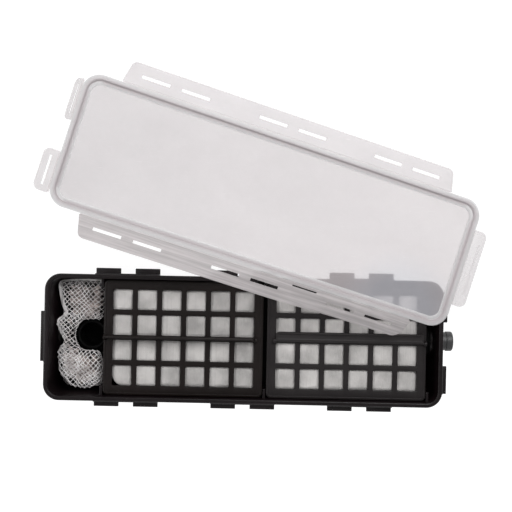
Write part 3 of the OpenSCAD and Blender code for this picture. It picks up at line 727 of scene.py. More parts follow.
class FILTER_OT_tub(bpy.types.Operator):
    """Model the tub with its rolled rim, catch tabs, ribs and bosses"""
    bl_idname = "filter.tub"
    bl_label = "Tub"

    def execute(self, context):
        s = context.scene.filter_tub
        skin_length, skin_width = s.rim_length - 2 * s.lip, s.rim_width - 2 * s.lip
        rim_z = s.height - s.lip_height
        skin = sheet_face("tub_skin", skin_length, skin_width, s.corner - s.lip, rim_z + s.lip)
        with editing(skin):
            pick_all()
            inset(lean(s, 0) - lean(s, rim_z))
            shift(z=-(rim_z + s.lip))
        outwards(skin)
        turn_over(skin, lambda faces: min(faces, key=lambda face: face.calc_center_median().z),
                  -1)
        modify(skin, "SOLIDIFY", thickness=s.wall, offset=-1, use_even_offset=True)
        bosses = []
        for side, node in PORTS:
            low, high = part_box(node)
            z = (low.z + high.z) / 2
            wall_x = skin_length / 2 - lean(s, z)
            cutter = add("cylinder", "cutter", radius=s.port, depth=30 * MM, vertices=48,
                         rotation=ALONG_X, location=(side * wall_x, 0, z))
            modify(skin, "BOOLEAN", object=cutter, operation="DIFFERENCE", solver="EXACT")
            bpy.data.objects.remove(cutter)
            bosses.append(self.boss(s, side * (wall_x - s.wall / 2), z))
        soften(skin, 1.1 * MM, 3, 40)
        rim = ring("tub_rim", s.rim_length, s.rim_width, s.corner, s.lip + s.wall, rim_z,
                   s.lip_height)
        tub = join("tub_moulding", [skin, soften(rim, 1.15 * MM, 4), *bosses,
                                    *self.catches(s), *self.ribs(s, skin_width)])
        stand_for(tub, "tub", ["tub"], moulded("tub_black", context.scene.filter_colours.tub,
                                               0.38, dust=0.25, shine=0.3))
        return {"FINISHED"}

    def boss(self, s, x, z):
        """Ring round a hose fitting's hole, proud of the wall inside and out."""
        outer, proud = mm(15, 1.5)
        boss = add("cylinder", "boss", radius=outer, depth=s.wall + 2 * proud, vertices=64)
        with editing(boss):
            pick(boss, "faces", lambda middle, normal: abs(normal.z) > 0.9)
            inset(outer - s.port)
            bpy.ops.mesh.bridge_edge_loops()
        return put(soften(boss, 0.5 * MM), move(x, 0, z) @ spin(math.pi / 2, "Y"))

    def catches(self, s):
        """Catch tabs, the pads that carry them and the bridges between the tabs of a pair."""
        made = []
        pad_top = s.height - s.lip_height / 2
        pad_out = 1 * MM

        def tab(span, middle, turn, edge, drop, out):
            root = edge - s.lip - s.wall
            low = s.height - drop - s.tab_thick / 2
            for reach, upper in ((out, low + s.tab_thick), (pad_out, pad_top)):
                piece = block("tab", (edge + reach - root, span, upper - low),
                              ((edge + reach + root) / 2, middle, (upper + low) / 2), s.soften)
                made.append(put(smooth(piece), spin(turn)))

        bridge = mm(5.5, 15, 6.5)
        bridge_x = s.rim_width / 2 - s.lip - s.wall + bridge[0] / 2
        for turn, pair in product((math.pi / 2, -math.pi / 2), (-s.pair_pitch, 0, s.pair_pitch)):
            for half in (-s.tab_offset, s.tab_offset):
                tab(25 * MM, pair + half, turn, s.rim_width / 2, s.tab_drop, s.tab_out)
            made.append(put(block("bridge", bridge, (bridge_x, pair, pad_top - bridge[2] / 2),
                                  0.5 * MM), spin(turn)))
        for half in mm(-36, 36):
            tab(28 * MM, half, 0, s.rim_length / 2, s.end_tab_drop, s.end_tab_out)
        tab(50.6 * MM, 0, math.pi, s.rim_length / 2, s.wide_tab_drop, s.end_tab_out)
        return made

    def ribs(self, s, skin_width):
        """Upright guide ribs on the long walls and floor ribs under the cassettes."""
        made = []
        thick, deep, base, into_wall, floor_high = mm(3, 6, 2, 1, 4.2)
        left_1, right_1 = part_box("cassette_1_cover")
        left_2, right_2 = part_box("cassette_2_cover")
        gap = left_2.x - right_1.x
        top = right_1.z - 6 * MM
        foot = skin_width / 2 - s.wall - s.draft
        outer, inner = foot + into_wall, foot - deep
        for x, side in product((left_1.x - gap / 2, right_1.x + gap / 2, right_2.x + gap / 2),
                               (-1, 1)):
            rib = block("guide_rib", (thick, outer - inner, top - base),
                        (x, side * (outer + inner) / 2, (top + base) / 2), 0.6 * MM)
            with editing(rib):      # the rib's outer face leans with the wall
                pick(rib, "verts", lambda co, _: co.z > top / 2 and abs(co.y) > foot - base)
                shift(y=side * s.draft * 0.8)
            made.append(rib)
        for (low, high), share in product(((left_1, right_1), (left_2, right_2)), (-1, 0, 1)):
            x = (low.x + high.x) / 2 + share * (high.x - low.x - 7 * MM) / 3
            made.append(block("floor_rib", (thick, 2 * foot, floor_high), (x, 0, 3.5 * MM),
                              0.5 * MM))
        return made


class FILTER_OT_fittings(bpy.types.Operator):
    """Model the barbed hose tails and finish the elbow, nuts and seals"""
    bl_idname = "filter.fittings"
    bl_label = "Hose fittings"

    def execute(self, context):
        grey = moulded("fitting_grey", context.scene.filter_colours.fitting, 0.42, inside=0.196)
        black = moulded("fitting_black", (0.0015, 0.0015, 0.0016), 0.6, shine=0.12)
        seal = rubber("seal_black", (0.01, 0.01, 0.01))
        for side, node in PORTS:
            stand_for(self.tail(node, side), "tub", [node], grey)
        for node in ("inlet_elbow", "inlet_nut", "outlet_nut"):
            dress(node, black)
            smooth(frame["nodes"][node], 35)
        for node in ("inlet_oring", "outlet_oring"):
            dress(node, seal)
        return {"FINISHED"}

    def tail(self, node, side):
        """Flange, two barbs and a plain end, hollow right through; it is built along +Z."""
        low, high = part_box(node)
        end = high.x if side > 0 else -low.x
        start = end - (high.x - low.x)
        flange, neck, barb, spigot, bore = mm(14, 9.2, 10.2, 9.5, 7.5)
        reach = 17 if side > 0 else 10          # millimetres from the flange to the end
        share = reach * 0.3
        height = end - (reach + 3) * MM
        tail = add("cylinder", node + "_barbed", radius=spigot, depth=height - start,
                   vertices=64, location=(0, 0, (height + start) / 2))
        with editing(tail):
            pick(tail, "faces", lambda middle, normal: normal.z > 0.9)
            radius = spigot
            # each step: rise along the axis, then the radius reached there
            for rise, wanted in ((0, flange), (3, flange), (0, neck), (share, neck), (0, barb),
                                 (share, neck), (0, barb), (reach - 2 * share - 1, barb),
                                 (1, neck), (0, bore)):
                raise_by(rise * MM)
                height += rise * MM
                if wanted != radius:
                    resize(wanted / radius, wanted / radius, centre=(0, 0, height))
                radius = wanted
            pick(tail, "faces", lambda middle, normal: normal.z < -0.9 and middle.z < start + MM)
            inset(spigot - bore)
            pick(tail, "faces", lambda middle, normal: abs(normal.z) > 0.9
                 and math.hypot(middle.x, middle.y) < TINY
                 and (middle.z < start + MM or middle.z > end - MM))
            bpy.ops.mesh.bridge_edge_loops()
            weld()
        soften(outwards(tail), 0.35 * MM, 2, 25)
        return put(tail, move(z=(low.z + high.z) / 2) @ spin(side * math.pi / 2, "Y"))


class FILTER_OT_cassettes(bpy.types.Operator):
    """Model the grid covers and strip handles, and finish the baskets"""
    bl_idname = "filter.cassettes"
    bl_label = "Cassettes"

    def execute(self, context):
        s = context.scene.filter_cassettes
        # which cassette, the side its handle is nearer to, the angle its handle stands at
        for which, side, raised in ((1, -1, 80), (2, 1, 0)):
            body = f"cassette_{which}"
            low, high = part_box(body + "_cover")
            # painted light: the second cassette's moulding is a lighter copy of the first's
            base = getattr(context.scene.filter_colours, body)
            black = moulded(body + "_black", base, 0.46, dust=0.5, shine=0.25)
            cover = put(self.cover(s, body, high.x - low.x), move((low.x + high.x) / 2)
                        @ spin(0 if side > 0 else math.pi))
            stand_for(cover, body, [body + "_cover"], black)
            dress(body + "_basket", black)
            pivot = Vector(JOINTS[f"handle_{which}_fold"]["pos_m"])
            pivot.x += side * 3 * MM
            handle = put(self.handle(s, body, high.x - low.x),
                         move(*pivot) @ spin(math.radians(raised), "X"))
            stand_for(handle, body + "_handle", [body + "_handle"], moulded(
                body + "_handle_black", tint(base, 1.05), 0.5, dust=0.3, shine=0.3))
        return {"FINISHED"}

    def cover(self, s, body, plan_length):
        """Grid plate with its lip, snap hooks and the two ears of the handle."""
        top, rail_in, rail_thick = s.top, 1 * MM, 1.6 * MM
        holes = [hole((i - (s.columns - 1) / 2) * (s.window_length + s.bar),
                      (j - (s.rows - 1) / 2) * (s.window_width + s.bar),
                      s.window_length, s.window_width)
                 for i, j in product(range(s.columns), range(s.rows))]
        plate = sheet_face("grid", plan_length, s.width, s.corner, top)
        outwards(cut_out(plate, holes))
        modify(plate, "SOLIDIFY", thickness=s.thickness, offset=-1)
        with editing(plate):        # the windows' corners
            pick(plate, "edges", lambda middle, along: abs(along.z) > 0.9 and any(
                min(abs(middle.x - x0), abs(middle.x - x1)) < TINY
                and min(abs(middle.y - y0), abs(middle.y - y1)) < TINY
                for x0, x1, y0, y1 in holes))
            bevel(1.3 * MM, 4)
        # a shallow rail round the grid, just inside the edge
        rail = ring("rail", plan_length - 2 * rail_in, s.width - 2 * rail_in,
                    s.corner - rail_in, rail_thick, top - 0.4 * MM, 0.8 * MM)
        pieces = [soften(plate, 0.6 * MM), soften(rail, 0.35 * MM, 2),
                  ring("lip", *mm(149.8, 106, 3, 1.4), top - 5.5 * MM, 3.5 * MM)]
        for x in (-plan_length / 2 + 7.25 * MM, plan_length / 2 - 1.25 * MM):
            ear = block("ear", mm(2.5, 5.2, 4.9), (x, 0, top + 1.95 * MM))
            with editing(ear):
                pick(ear, "edges", lambda middle, along: abs(along.x) > 0.9
                     and middle.z > top + 2 * MM)
                bevel(2.4 * MM, 8)
            pieces.append(soften(ear, 0.3 * MM, 2))
        for x, y in product(mm(-38.5, 38.5), mm(-56.05, 56.05)):
            pieces.append(block("hook", mm(12, 1.3, 8.5), (x, y, top - 6.3 * MM), 0.3 * MM, 2))
        return join(body + "_grid", pieces)

    def handle(self, s, body, cover_length):
        """Strip with a sunk middle, a beaded free edge and a pin at each end."""
        span = cover_length - (6 + 2 * 2.8) * MM
        width = s.handle_width - 0.4 * MM
        strip = block("strip", (span, width, s.handle_thick), (0, width / 2, 0))
        with editing(strip):
            pick(strip, "edges", lambda middle, along: abs(along.z) > 0.9
                 and middle.y > s.handle_width / 2)
            bevel(2.6 * MM, 6)
            for up in (1, -1):
                pick(strip, "faces", lambda middle, normal: normal.z * up > 0.9)
                inset(1.7 * MM)
                shift(y=0.3 * MM)
                inset(0.35 * MM)
                shift(z=-up * 0.45 * MM)
        pieces = [soften(strip, 0.4 * MM)]
        pin_length, pin_x = 3.8 * MM, span / 2 + 0.9 * MM
        for radius, depth, x, y in ((1.45 * MM, span - 6 * MM, 0, s.handle_width - 1.5 * MM),
                                    (1.0 * MM, span, 0, 0), (s.pin, pin_length, -pin_x, 0),
                                    (s.pin, pin_length, pin_x, 0)):
            rod = add("cylinder", "rod", radius=radius, depth=depth, vertices=24,
                      rotation=ALONG_X, location=(x, y, 0))
            pieces.append(soften(rod, 0.3 * MM, 2))
        return join(body + "_strip_handle", pieces)


def swell(piece, voxel, cap):
    """Remeshes a closed form and blows it up a little, as stuffing does; no point moves past
    cap."""
    modify(piece, "REMESH", mode="VOXEL", voxel_size=voxel, use_smooth_shade=True)
    rest = [vertex.co.copy() for vertex in piece.data.vertices]
    activate(piece)
    cloth = piece.modifiers.new("Cloth", "CLOTH")
    cloth.settings.quality = 4
    cloth.settings.use_pressure = True
    cloth.settings.uniform_pressure_force = 4.0
    cloth.settings.effector_weights.gravity = 0
    for step in range(1, 21):
        bpy.context.scene.frame_set(step)
    bpy.ops.object.modifier_apply(modifier=cloth.name)
    bpy.context.scene.frame_set(1)
    for vertex, before in zip(piece.data.vertices, rest):
        moved = vertex.co - before
        if moved.length > cap:
            vertex.co = before + moved * (cap / moved.length)
    return piece


def closed_copy(node, name):
    """Copy of a CAD node's mesh with its doubles merged."""
    piece = copy_of(frame["nodes"][node], name)
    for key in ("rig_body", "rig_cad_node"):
        if key in piece:
            del piece[key]
    piece.parent = None
    with editing(piece):
        weld()
    return piece


class FILTER_OT_pads(bpy.types.Operator):
    """Make the fleece pads and foam blocks that fill the cassettes"""
    bl_idname = "filter.pads"
    bl_label = "Fleece and foam"

    def execute(self, context):
        colours = context.scene.filter_colours
        blue = foam("foam_blue", colours.foam)
        # painted light: the second pad's fleece is painted 10% paler, a lit copy of the same
        # fleece
        for which, paler in ((1, 1), (2, 1.1)):
            body = f"cassette_{which}"
            white = fleece(f"fleece_white_{which}", tint(colours.fleece, paler))
            pad = self.pad(context.scene.filter_cassettes, body, which)
            stand_for(pad, body, [body + "_fleece"], white)
            core = closed_copy(body + "_foam", body + "_foam_block")
            modify(core, "REMESH", mode="VOXEL", voxel_size=4 * MM, use_smooth_shade=True)
            modify(core, "SMOOTH", factor=0.5, iterations=3)
            stand_for(core, body, [body + "_foam"], blue)
        return {"FINISHED"}

    def pad(self, s, body, which):
        """Swollen pad, pressed down by the bars of the grid and frayed at its edges."""
        low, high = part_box(body + "_fleece")
        middle = sum(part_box(body + "_cover"), Vector()) / 2
        pad = swell(closed_copy(body + "_fleece", body + "_fleece_pad"), 4 * MM, 1.2 * MM)
        modify(pad, "SUBSURF", levels=2, render_levels=2)
        pitch_x, pitch_y = s.window_length + s.bar, s.window_width + s.bar
        edge, below_bar, spread = 0.6 * MM, 0.1 * MM, 1.4 * MM
        # the first pad has one well-rounded corner, which leaves a gap in its window
        corner = 18.5 * MM
        turn_at = low.xy + Vector((corner, corner))
        for vertex in pad.data.vertices:
            co = vertex.co
            if co.z > high.z - 6 * MM:
                u = ((co.x - middle.x) / pitch_x + s.columns / 2) % 1 - 0.5
                v = (co.y / pitch_y + s.rows / 2) % 1 - 0.5
                press = math.prod(max(0, math.cos(math.pi * w)) ** 0.5 for w in (u, v))
                rough = noise(co * 70) * 0.9 + noise(co * 230) * 0.3
                inside = (abs(u) * pitch_x < s.window_length / 2 - edge
                          and abs(v) * pitch_y < s.window_width / 2 - edge)
                co.z = min(co.z + ((press - 0.5) * 1.5 + rough * 0.5) * MM,
                           high.z + (s.bulge if inside else -below_bar))
            co.x = middle.x + (co.x - middle.x) * 1.022
            co.y *= 1.02
            out = co.xy - turn_at
            if which == 1 and out.x < 0 and out.y < 0 and out.length > corner:
                co.xy = turn_at + out * (corner / out.length)
            co.x = min(max(co.x, low.x - spread), high.x + spread)
            co.y = min(max(co.y, low.y), high.y)
            co.z = max(co.z, low.z)
        return smooth(pad, 0)


def random_vector():
    return Vector([random.uniform(-1, 1) for _ in range(3)])


def strands(piece, thickness):
    """Turns the edges of the piece into strands."""
    return modify(piece, "WIREFRAME", thickness=thickness, use_even_offset=False,
                  use_boundary=True, offset=0)


class FILTER_OT_bag(bpy.types.Operator):
    """Make the knitted bag and the ceramic pebbles in it"""
    bl_idname = "filter.bag"
    bl_label = "Media bag"

    def execute(self, context):
        s = context.scene.filter_bag
        colours = context.scene.filter_colours
        form = swell(closed_copy("media_bag", "bag_form"), 4.2 * MM, 2.6 * MM)
        modify(form, "SUBSURF", levels=1, render_levels=1)
        self.shape(form)
        tree = BVHTree.FromObject(form, bpy.context.evaluated_depsgraph_get())
        low, high = [Vector([limit(vertex.co[i] for vertex in form.data.vertices)
                             for i in range(3)]) for limit in (min, max)]
        clay = ceramic("ceramic_pebbles", colours.ceramic, mm(-178, -24, 45))
        stand_for(self.pebbles(s, tree, low, high), "media_bag", ["ceramic_media"], clay)
        net = self.net(s, form, tree)
        stand_for(net, "media_bag", ["media_bag"],
                  knitted("nylon_net", colours.net, mm(-158, 35, 50)))
        bpy.data.objects.remove(form)
        return {"FINISHED"}

    # places in millimetres, reach of the pull, and how far it moves the points at its middle
    PULLS = ((-188, 51, 48, 17, -3.5, 5, 0), (-166, 52, 50, 24, 0, 4.5, 1),
             (-147, 51, 48, 16, 4.5, 6, 0), (-190, 23, 42, 12, 7, -1, -4),
             (-189, 14, 46, 9, -4, 1, 2), (-190, -6.4, 44, 11, 8, 0, -3),
             (-187, -15, 46, 8, -3, 0, 0), (-190, -26, 48, 18, -1.5, 0, 1),
             (-188, -51, 48, 15, 5, 3, -2), (-163, -52, 50, 20, 0, -3, 0),
             (-148, -51, 48, 13, 3, 1, -2), (-146, 18, 46, 11, 2, -3, -1),
             (-146, -17, 46, 12, 2, 4, -1), (-170, 24, 55, 10, 0, -2, -4),
             (-165, -20, 55, 9, 0, 2, -3))

    # where the media leaves a hollow under the net: place in millimetres and reach
    HOLLOWS = ((-187, 47, 8), (-185, 38, 7.5), (-183, 30, 6), (-172, 30, 4), (-161, 40, 5),
               (-161, 52, 4.5), (-189, 15, 5), (-178, 8, 6), (-173, 2, 4), (-190, -28, 5),
               (-189, -36, 4.5), (-166, -15, 3.5), (-162, -21, 3.5), (-157, -27, 3.5),
               (-153, -32, 3.5), (-175, -47, 5), (-164, -52, 5))

    # the sewn edge, in millimetres, from the top corner down past both gathers
    HEM = ((-146, 57, 46), (-168, 57, 48), (-185, 56, 48), (-189.8, 52.5, 48),
           (-189, 46, 48), (-187.6, 38, 47), (-185.6, 29, 45), (-182.5, 23, 43), (-187, 19, 44),
           (-191.3, 15, 46), (-190.5, 9, 47), (-188.9, 4, 46), (-186, -2, 43), (-181, -6, 39))

    def hollow(self, spot):
        return any(math.hypot(spot.x - x * MM, spot.y - y * MM) < reach * MM
                   for x, y, reach in self.HOLLOWS)

    def shape(self, form):
        """Gathers, folds and corners of the slack bag: each pulls the points near it."""
        low, high = next(opening["box_m"] for opening in frame["record"]["physics"]["openings"]
                         if opening["name"] == "elbow_mouth")
        mouth = Vector(((low[0] + high[0]) / 2, 0))
        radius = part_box("inlet_elbow")[1].x - mouth.x
        for vertex in form.data.vertices:
            co = vertex.co.copy()
            for x, y, z, reach, *pull in self.PULLS:
                near = (co - Vector((x, y, z)) * MM).length / (reach * MM)
                if near < 1:
                    vertex.co += Vector(pull) * MM * (1 - near * near) ** 2
            lumps = noise(co * 130) * 1.1 + noise(co * 48) * 1.5
            vertex.co += vertex.normal * (lumps - 0.4) * MM
            # the slack net lies against the elbow's mouth
            out = vertex.co.xy - mouth
            slack = 1 - (out.length - radius) / (14 * MM)
            if vertex.co.z > 28 * MM and 0 < slack:
                out *= max(out.length - 2.4 * MM * min(slack, 1), radius + 0.5 * MM) / out.length
                vertex.co.xy = mouth + out

    def pebbles(self, s, tree, low, high):
        """Irregular porous pebbles packed in the form, turned and sized at random."""
        random.seed(7)
        seed = add("uv_sphere", "ceramic_pebbles", segments=8, ring_count=6,
                   radius=s.pebble / 2)
        for vertex in seed.data.vertices:
            vertex.co *= 1 + noise(vertex.co * 240) * 0.45
        packed = bmesh.new()
        pitch = s.pebble * 0.95
        for i, j, k in product(*(range(int((high[axis] - low[axis]) / pitch) + 1)
                                 for axis in range(3))):
            spot = low + Vector((i + 0.5 * (k % 2), j + 0.5 * (k % 2), k)) * pitch
            spot += random_vector() * MM
            distance = tree.find_nearest(spot)[3]
            if not self.inside(tree, spot) or spot.z > 27 * MM and self.hollow(spot) \
                    or not s.pebble * 0.75 < distance < s.pebble * 2.9:
                continue
            turn = spin(random.uniform(0, 6.3), random_vector().normalized())
            scale = random.uniform(0.75, 1.1)
            before = len(packed.verts)
            packed.from_mesh(seed.data)
            packed.verts.ensure_lookup_table()
            bmesh.ops.transform(packed, verts=packed.verts[before:], matrix=move(*spot) @ turn
                                @ Matrix.Diagonal((scale, scale * 0.9, scale * 0.8, 1)))
        packed.to_mesh(seed.data)
        packed.free()
        return smooth(seed, 0)

    def inside(self, tree, spot):
        """Whether the form's skin is crossed an odd number of times on the way up from spot."""
        crossings, start = 0, spot.copy()
        while crossings < 12:
            hit = tree.ray_cast(start, UP)[0]
            if hit is None:
                break
            crossings += 1
            start = hit + UP * TINY
        return crossings % 2 == 1

    def net(self, s, form, tree):
        """Knitted diamonds over the top, a second layer on the lower lobe, the sides and the
        hem."""
        sides = copy_of(form, "side_net")
        modify(sides, "REMESH", mode="VOXEL", voxel_size=s.mesh * 1.2)
        modify(sides, "SMOOTH", factor=0.5, iterations=2)
        modify(sides, "DECIMATE", decimate_type="UNSUBDIV", iterations=1)
        with editing(sides):
            pick(sides, "faces", lambda middle, normal: normal.z > 0.1)
            delete()
        layers = [
            strands(sides, s.strand * 0.6),
            self.drape("top_net", tree, s.mesh, 0.72, 0.6 * MM, s.strand, lambda co: True),
            self.drape("under_net", tree, s.mesh * 0.8, 0.35, -1.2 * MM, s.strand * 0.7,
                       lambda co: noise(co * 40) > 0.05 and not self.hollow(co)),
            self.drape("lower_net", tree, s.mesh * 0.7, 1.05, -0.2 * MM, s.strand * 0.65,
                       lambda co: co.y + 0.011 < -0.94 * (co.x + 0.178)
                       + 0.003 * noise(co * 90) and not self.hollow(co))]
        return smooth(join("media_bag_net", [*layers, self.hem()]), 0)

    def drape(self, name, tree, cell, turn, lift, strand, keep):
        """Grid of strands laid over the form from above where keep allows it."""
        span, from_z, low_z, side_z = mm(130, 100, 30, 43)
        count = int(span / cell)
        cloth = add("grid", name, x_subdivisions=count, y_subdivisions=count,
                    size=count * cell, location=(-168 * MM, 0, 0), rotation=(0, 0, turn))
        lost = set()
        for vertex in cloth.data.vertices:
            co = vertex.co.copy()
            co.x += (noise(co * 55) * 2.2 + noise(co * 190) * 0.9) * MM
            co.y += (noise(co * 55 + Vector((9, 0, 0))) * 2.2
                     + noise(co * 190 + Vector((0, 9, 0))) * 0.9) * MM
            hit, normal, _, _ = tree.ray_cast(Vector((co.x, co.y, from_z)), -UP)
            if hit is None or hit.z < low_z:
                hit, normal, _, away = tree.find_nearest(Vector((co.x, co.y, side_z)))
                if away > 1.3 * MM:
                    lost.add(vertex.index)
            if not keep(Vector((co.x, co.y, 0))):
                lost.add(vertex.index)
            vertex.co = hit + normal * (lift + noise(hit * 260) * 0.4 * MM)
        with editing(cloth):
            pick(cloth, "verts", lambda co, index: index in lost)
            delete("VERT")
        return strands(cloth, strand)

    def hem(self):
        """Folded, slightly twisted band that runs along the bag's open edge."""
        rings, sides = 66, 8
        band = add("cylinder", "hem", radius=1, depth=1, vertices=sides)
        with editing(band):
            pick(band, "faces", lambda middle, normal: normal.z > 0.9)
            for _ in range(rings - 2):
                raise_by(1)
        last = len(self.HEM) - 1
        for vertex in band.data.vertices:
            step = round(vertex.co.z + 0.5)
            at = min(max(step / (rings - 1) * last, 0), last - 0.0001)
            i, share = int(at), at - int(at)
            a, b, c, d = (Vector(self.HEM[min(max(i + k, 0), last)]) for k in (-1, 0, 1, 2))
            spot = b + 0.5 * share * (c - a + share * (
                2 * a - 5 * b + 4 * c - d + share * (3 * (b - c) + d - a)))
            ahead = (c - b).normalized()
            aside = ahead.cross(UP).normalized()
            above = aside.cross(ahead)
            turn = math.atan2(vertex.co.y, vertex.co.x) + 0.3 * math.sin(step * 0.5)
            broad = 0.9 + 0.9 * math.exp(-((at - 5) / 1.8) ** 2) + 0.3 * noise(spot * 0.3)
            vertex.co = (spot + aside * math.cos(turn) * broad
                         + above * math.sin(turn) * 0.6) * MM
        return outwards(band)


def lid_matrix():
    """Where the open lid lies, worked out from the hinges of its two long flaps."""
    front, rear = (Vector(JOINTS[name]["pos_m"]) for name in ("front_flap_fold",
                                                              "rear_flap_fold"))
    along = -Vector(JOINTS["front_flap_fold"]["axis"]).normalized()
    across = (front - rear).normalized()
    turn = Matrix((along, across, along.cross(across).normalized())).transposed().to_4x4()
    return move(*(front + rear) / 2) @ turn


class FILTER_OT_lid(bpy.types.Operator):
    """Model the frosted lid and finish its sealing ring"""
    bl_idname = "filter.lid"
    bl_label = "Lid"

    def execute(self, context):
        s = context.scene.filter_lid
        wall = 1.1 * MM             # the rim's inner wall leans in by this
        shell = sheet_face("lid_skin", s.plan_length, s.plan_width, s.corner, -s.skirt, 16)
        with editing(shell):
            pick_all()
            raise_by(s.skirt + s.ridge_height)
            inset(s.ridge)
            raise_by(s.thickness - s.ridge_height)
            resize(1 - 2 * wall / (s.plan_length - 2 * s.ridge),
                   1 - 2 * wall / (s.plan_width - 2 * s.ridge))
            inset(s.ledge - wall)
            raise_by(-s.step)
            pick(shell, "faces", lambda middle, normal: middle.z < -s.skirt + 0.01 * MM)
            delete()
        outwards(shell)
        turn_over(shell, lambda faces: max(faces, key=lambda face: face.calc_area()), 1)
        modify(shell, "BEVEL", width=0.75 * MM, segments=3, limit_method="ANGLE",
               angle_limit=math.radians(30))
        modify(shell, "SOLIDIFY", thickness=s.thickness, offset=-1, use_even_offset=True)
        self.mark(s, smooth(shell), wall)
        tongue_in = s.tongue_inset
        tongue = ring("tongue", s.plan_length - 2 * tongue_in, s.plan_width - 2 * tongue_in,
                      s.corner - tongue_in, s.thickness, -s.tongue, s.tongue + 0.1 * MM)
        lid = put(join("lid_frosted", [shell, soften(tongue, 0.3 * MM, 2)]), lid_matrix())
        # the lid's sheet is painted darker towards its left end and paler towards its right as
        # the light falls, bluish where it lies over the dark tub, and greyer in the rim's crease
        stand_for(lid, "lid", ["lid_shell"], frosted(
            "lid_frosted", context.scene.filter_colours.lid, 0.44, fold=0.14, sides=(0.9, 1.1),
            cool=(mm(150, 35, 90), 0.06), rim=0.2))
        dress("lid_gasket", frosted("seal_clear", (0.78, 0.76, 0.765), 0.22))
        return {"FINISHED"}

    def mark(self, s, shell, wall):
        """Marks the creases at the rim's inner wall, where the finish paints shade, and the
        thicker rim, for the finish.
        """
        for name in ("fold", "rim"):
            shell.data.attributes.new(name, "FLOAT", "POINT")
        fold, rim = (shell.data.attributes[name].data for name in ("fold", "rim"))
        for vertex in shell.data.vertices:
            x = abs(vertex.co.x) - s.plan_length / 2 + s.corner
            y = abs(vertex.co.y) - s.plan_width / 2 + s.corner
            from_edge = s.corner - math.hypot(max(x, 0), max(y, 0)) - min(max(x, y), 0)
            crease = s.ridge - 0.4 * MM < from_edge < s.ridge + wall + 0.4 * MM
            if from_edge < TINY or from_edge < 1.5 * MM and vertex.co.z < 1.5 * MM:
                crease = -1     # the thin outer wall lets more light through
            fold[vertex.index].value = crease
            rim[vertex.index].value = from_edge < s.ridge + s.ledge + 0.3 * MM


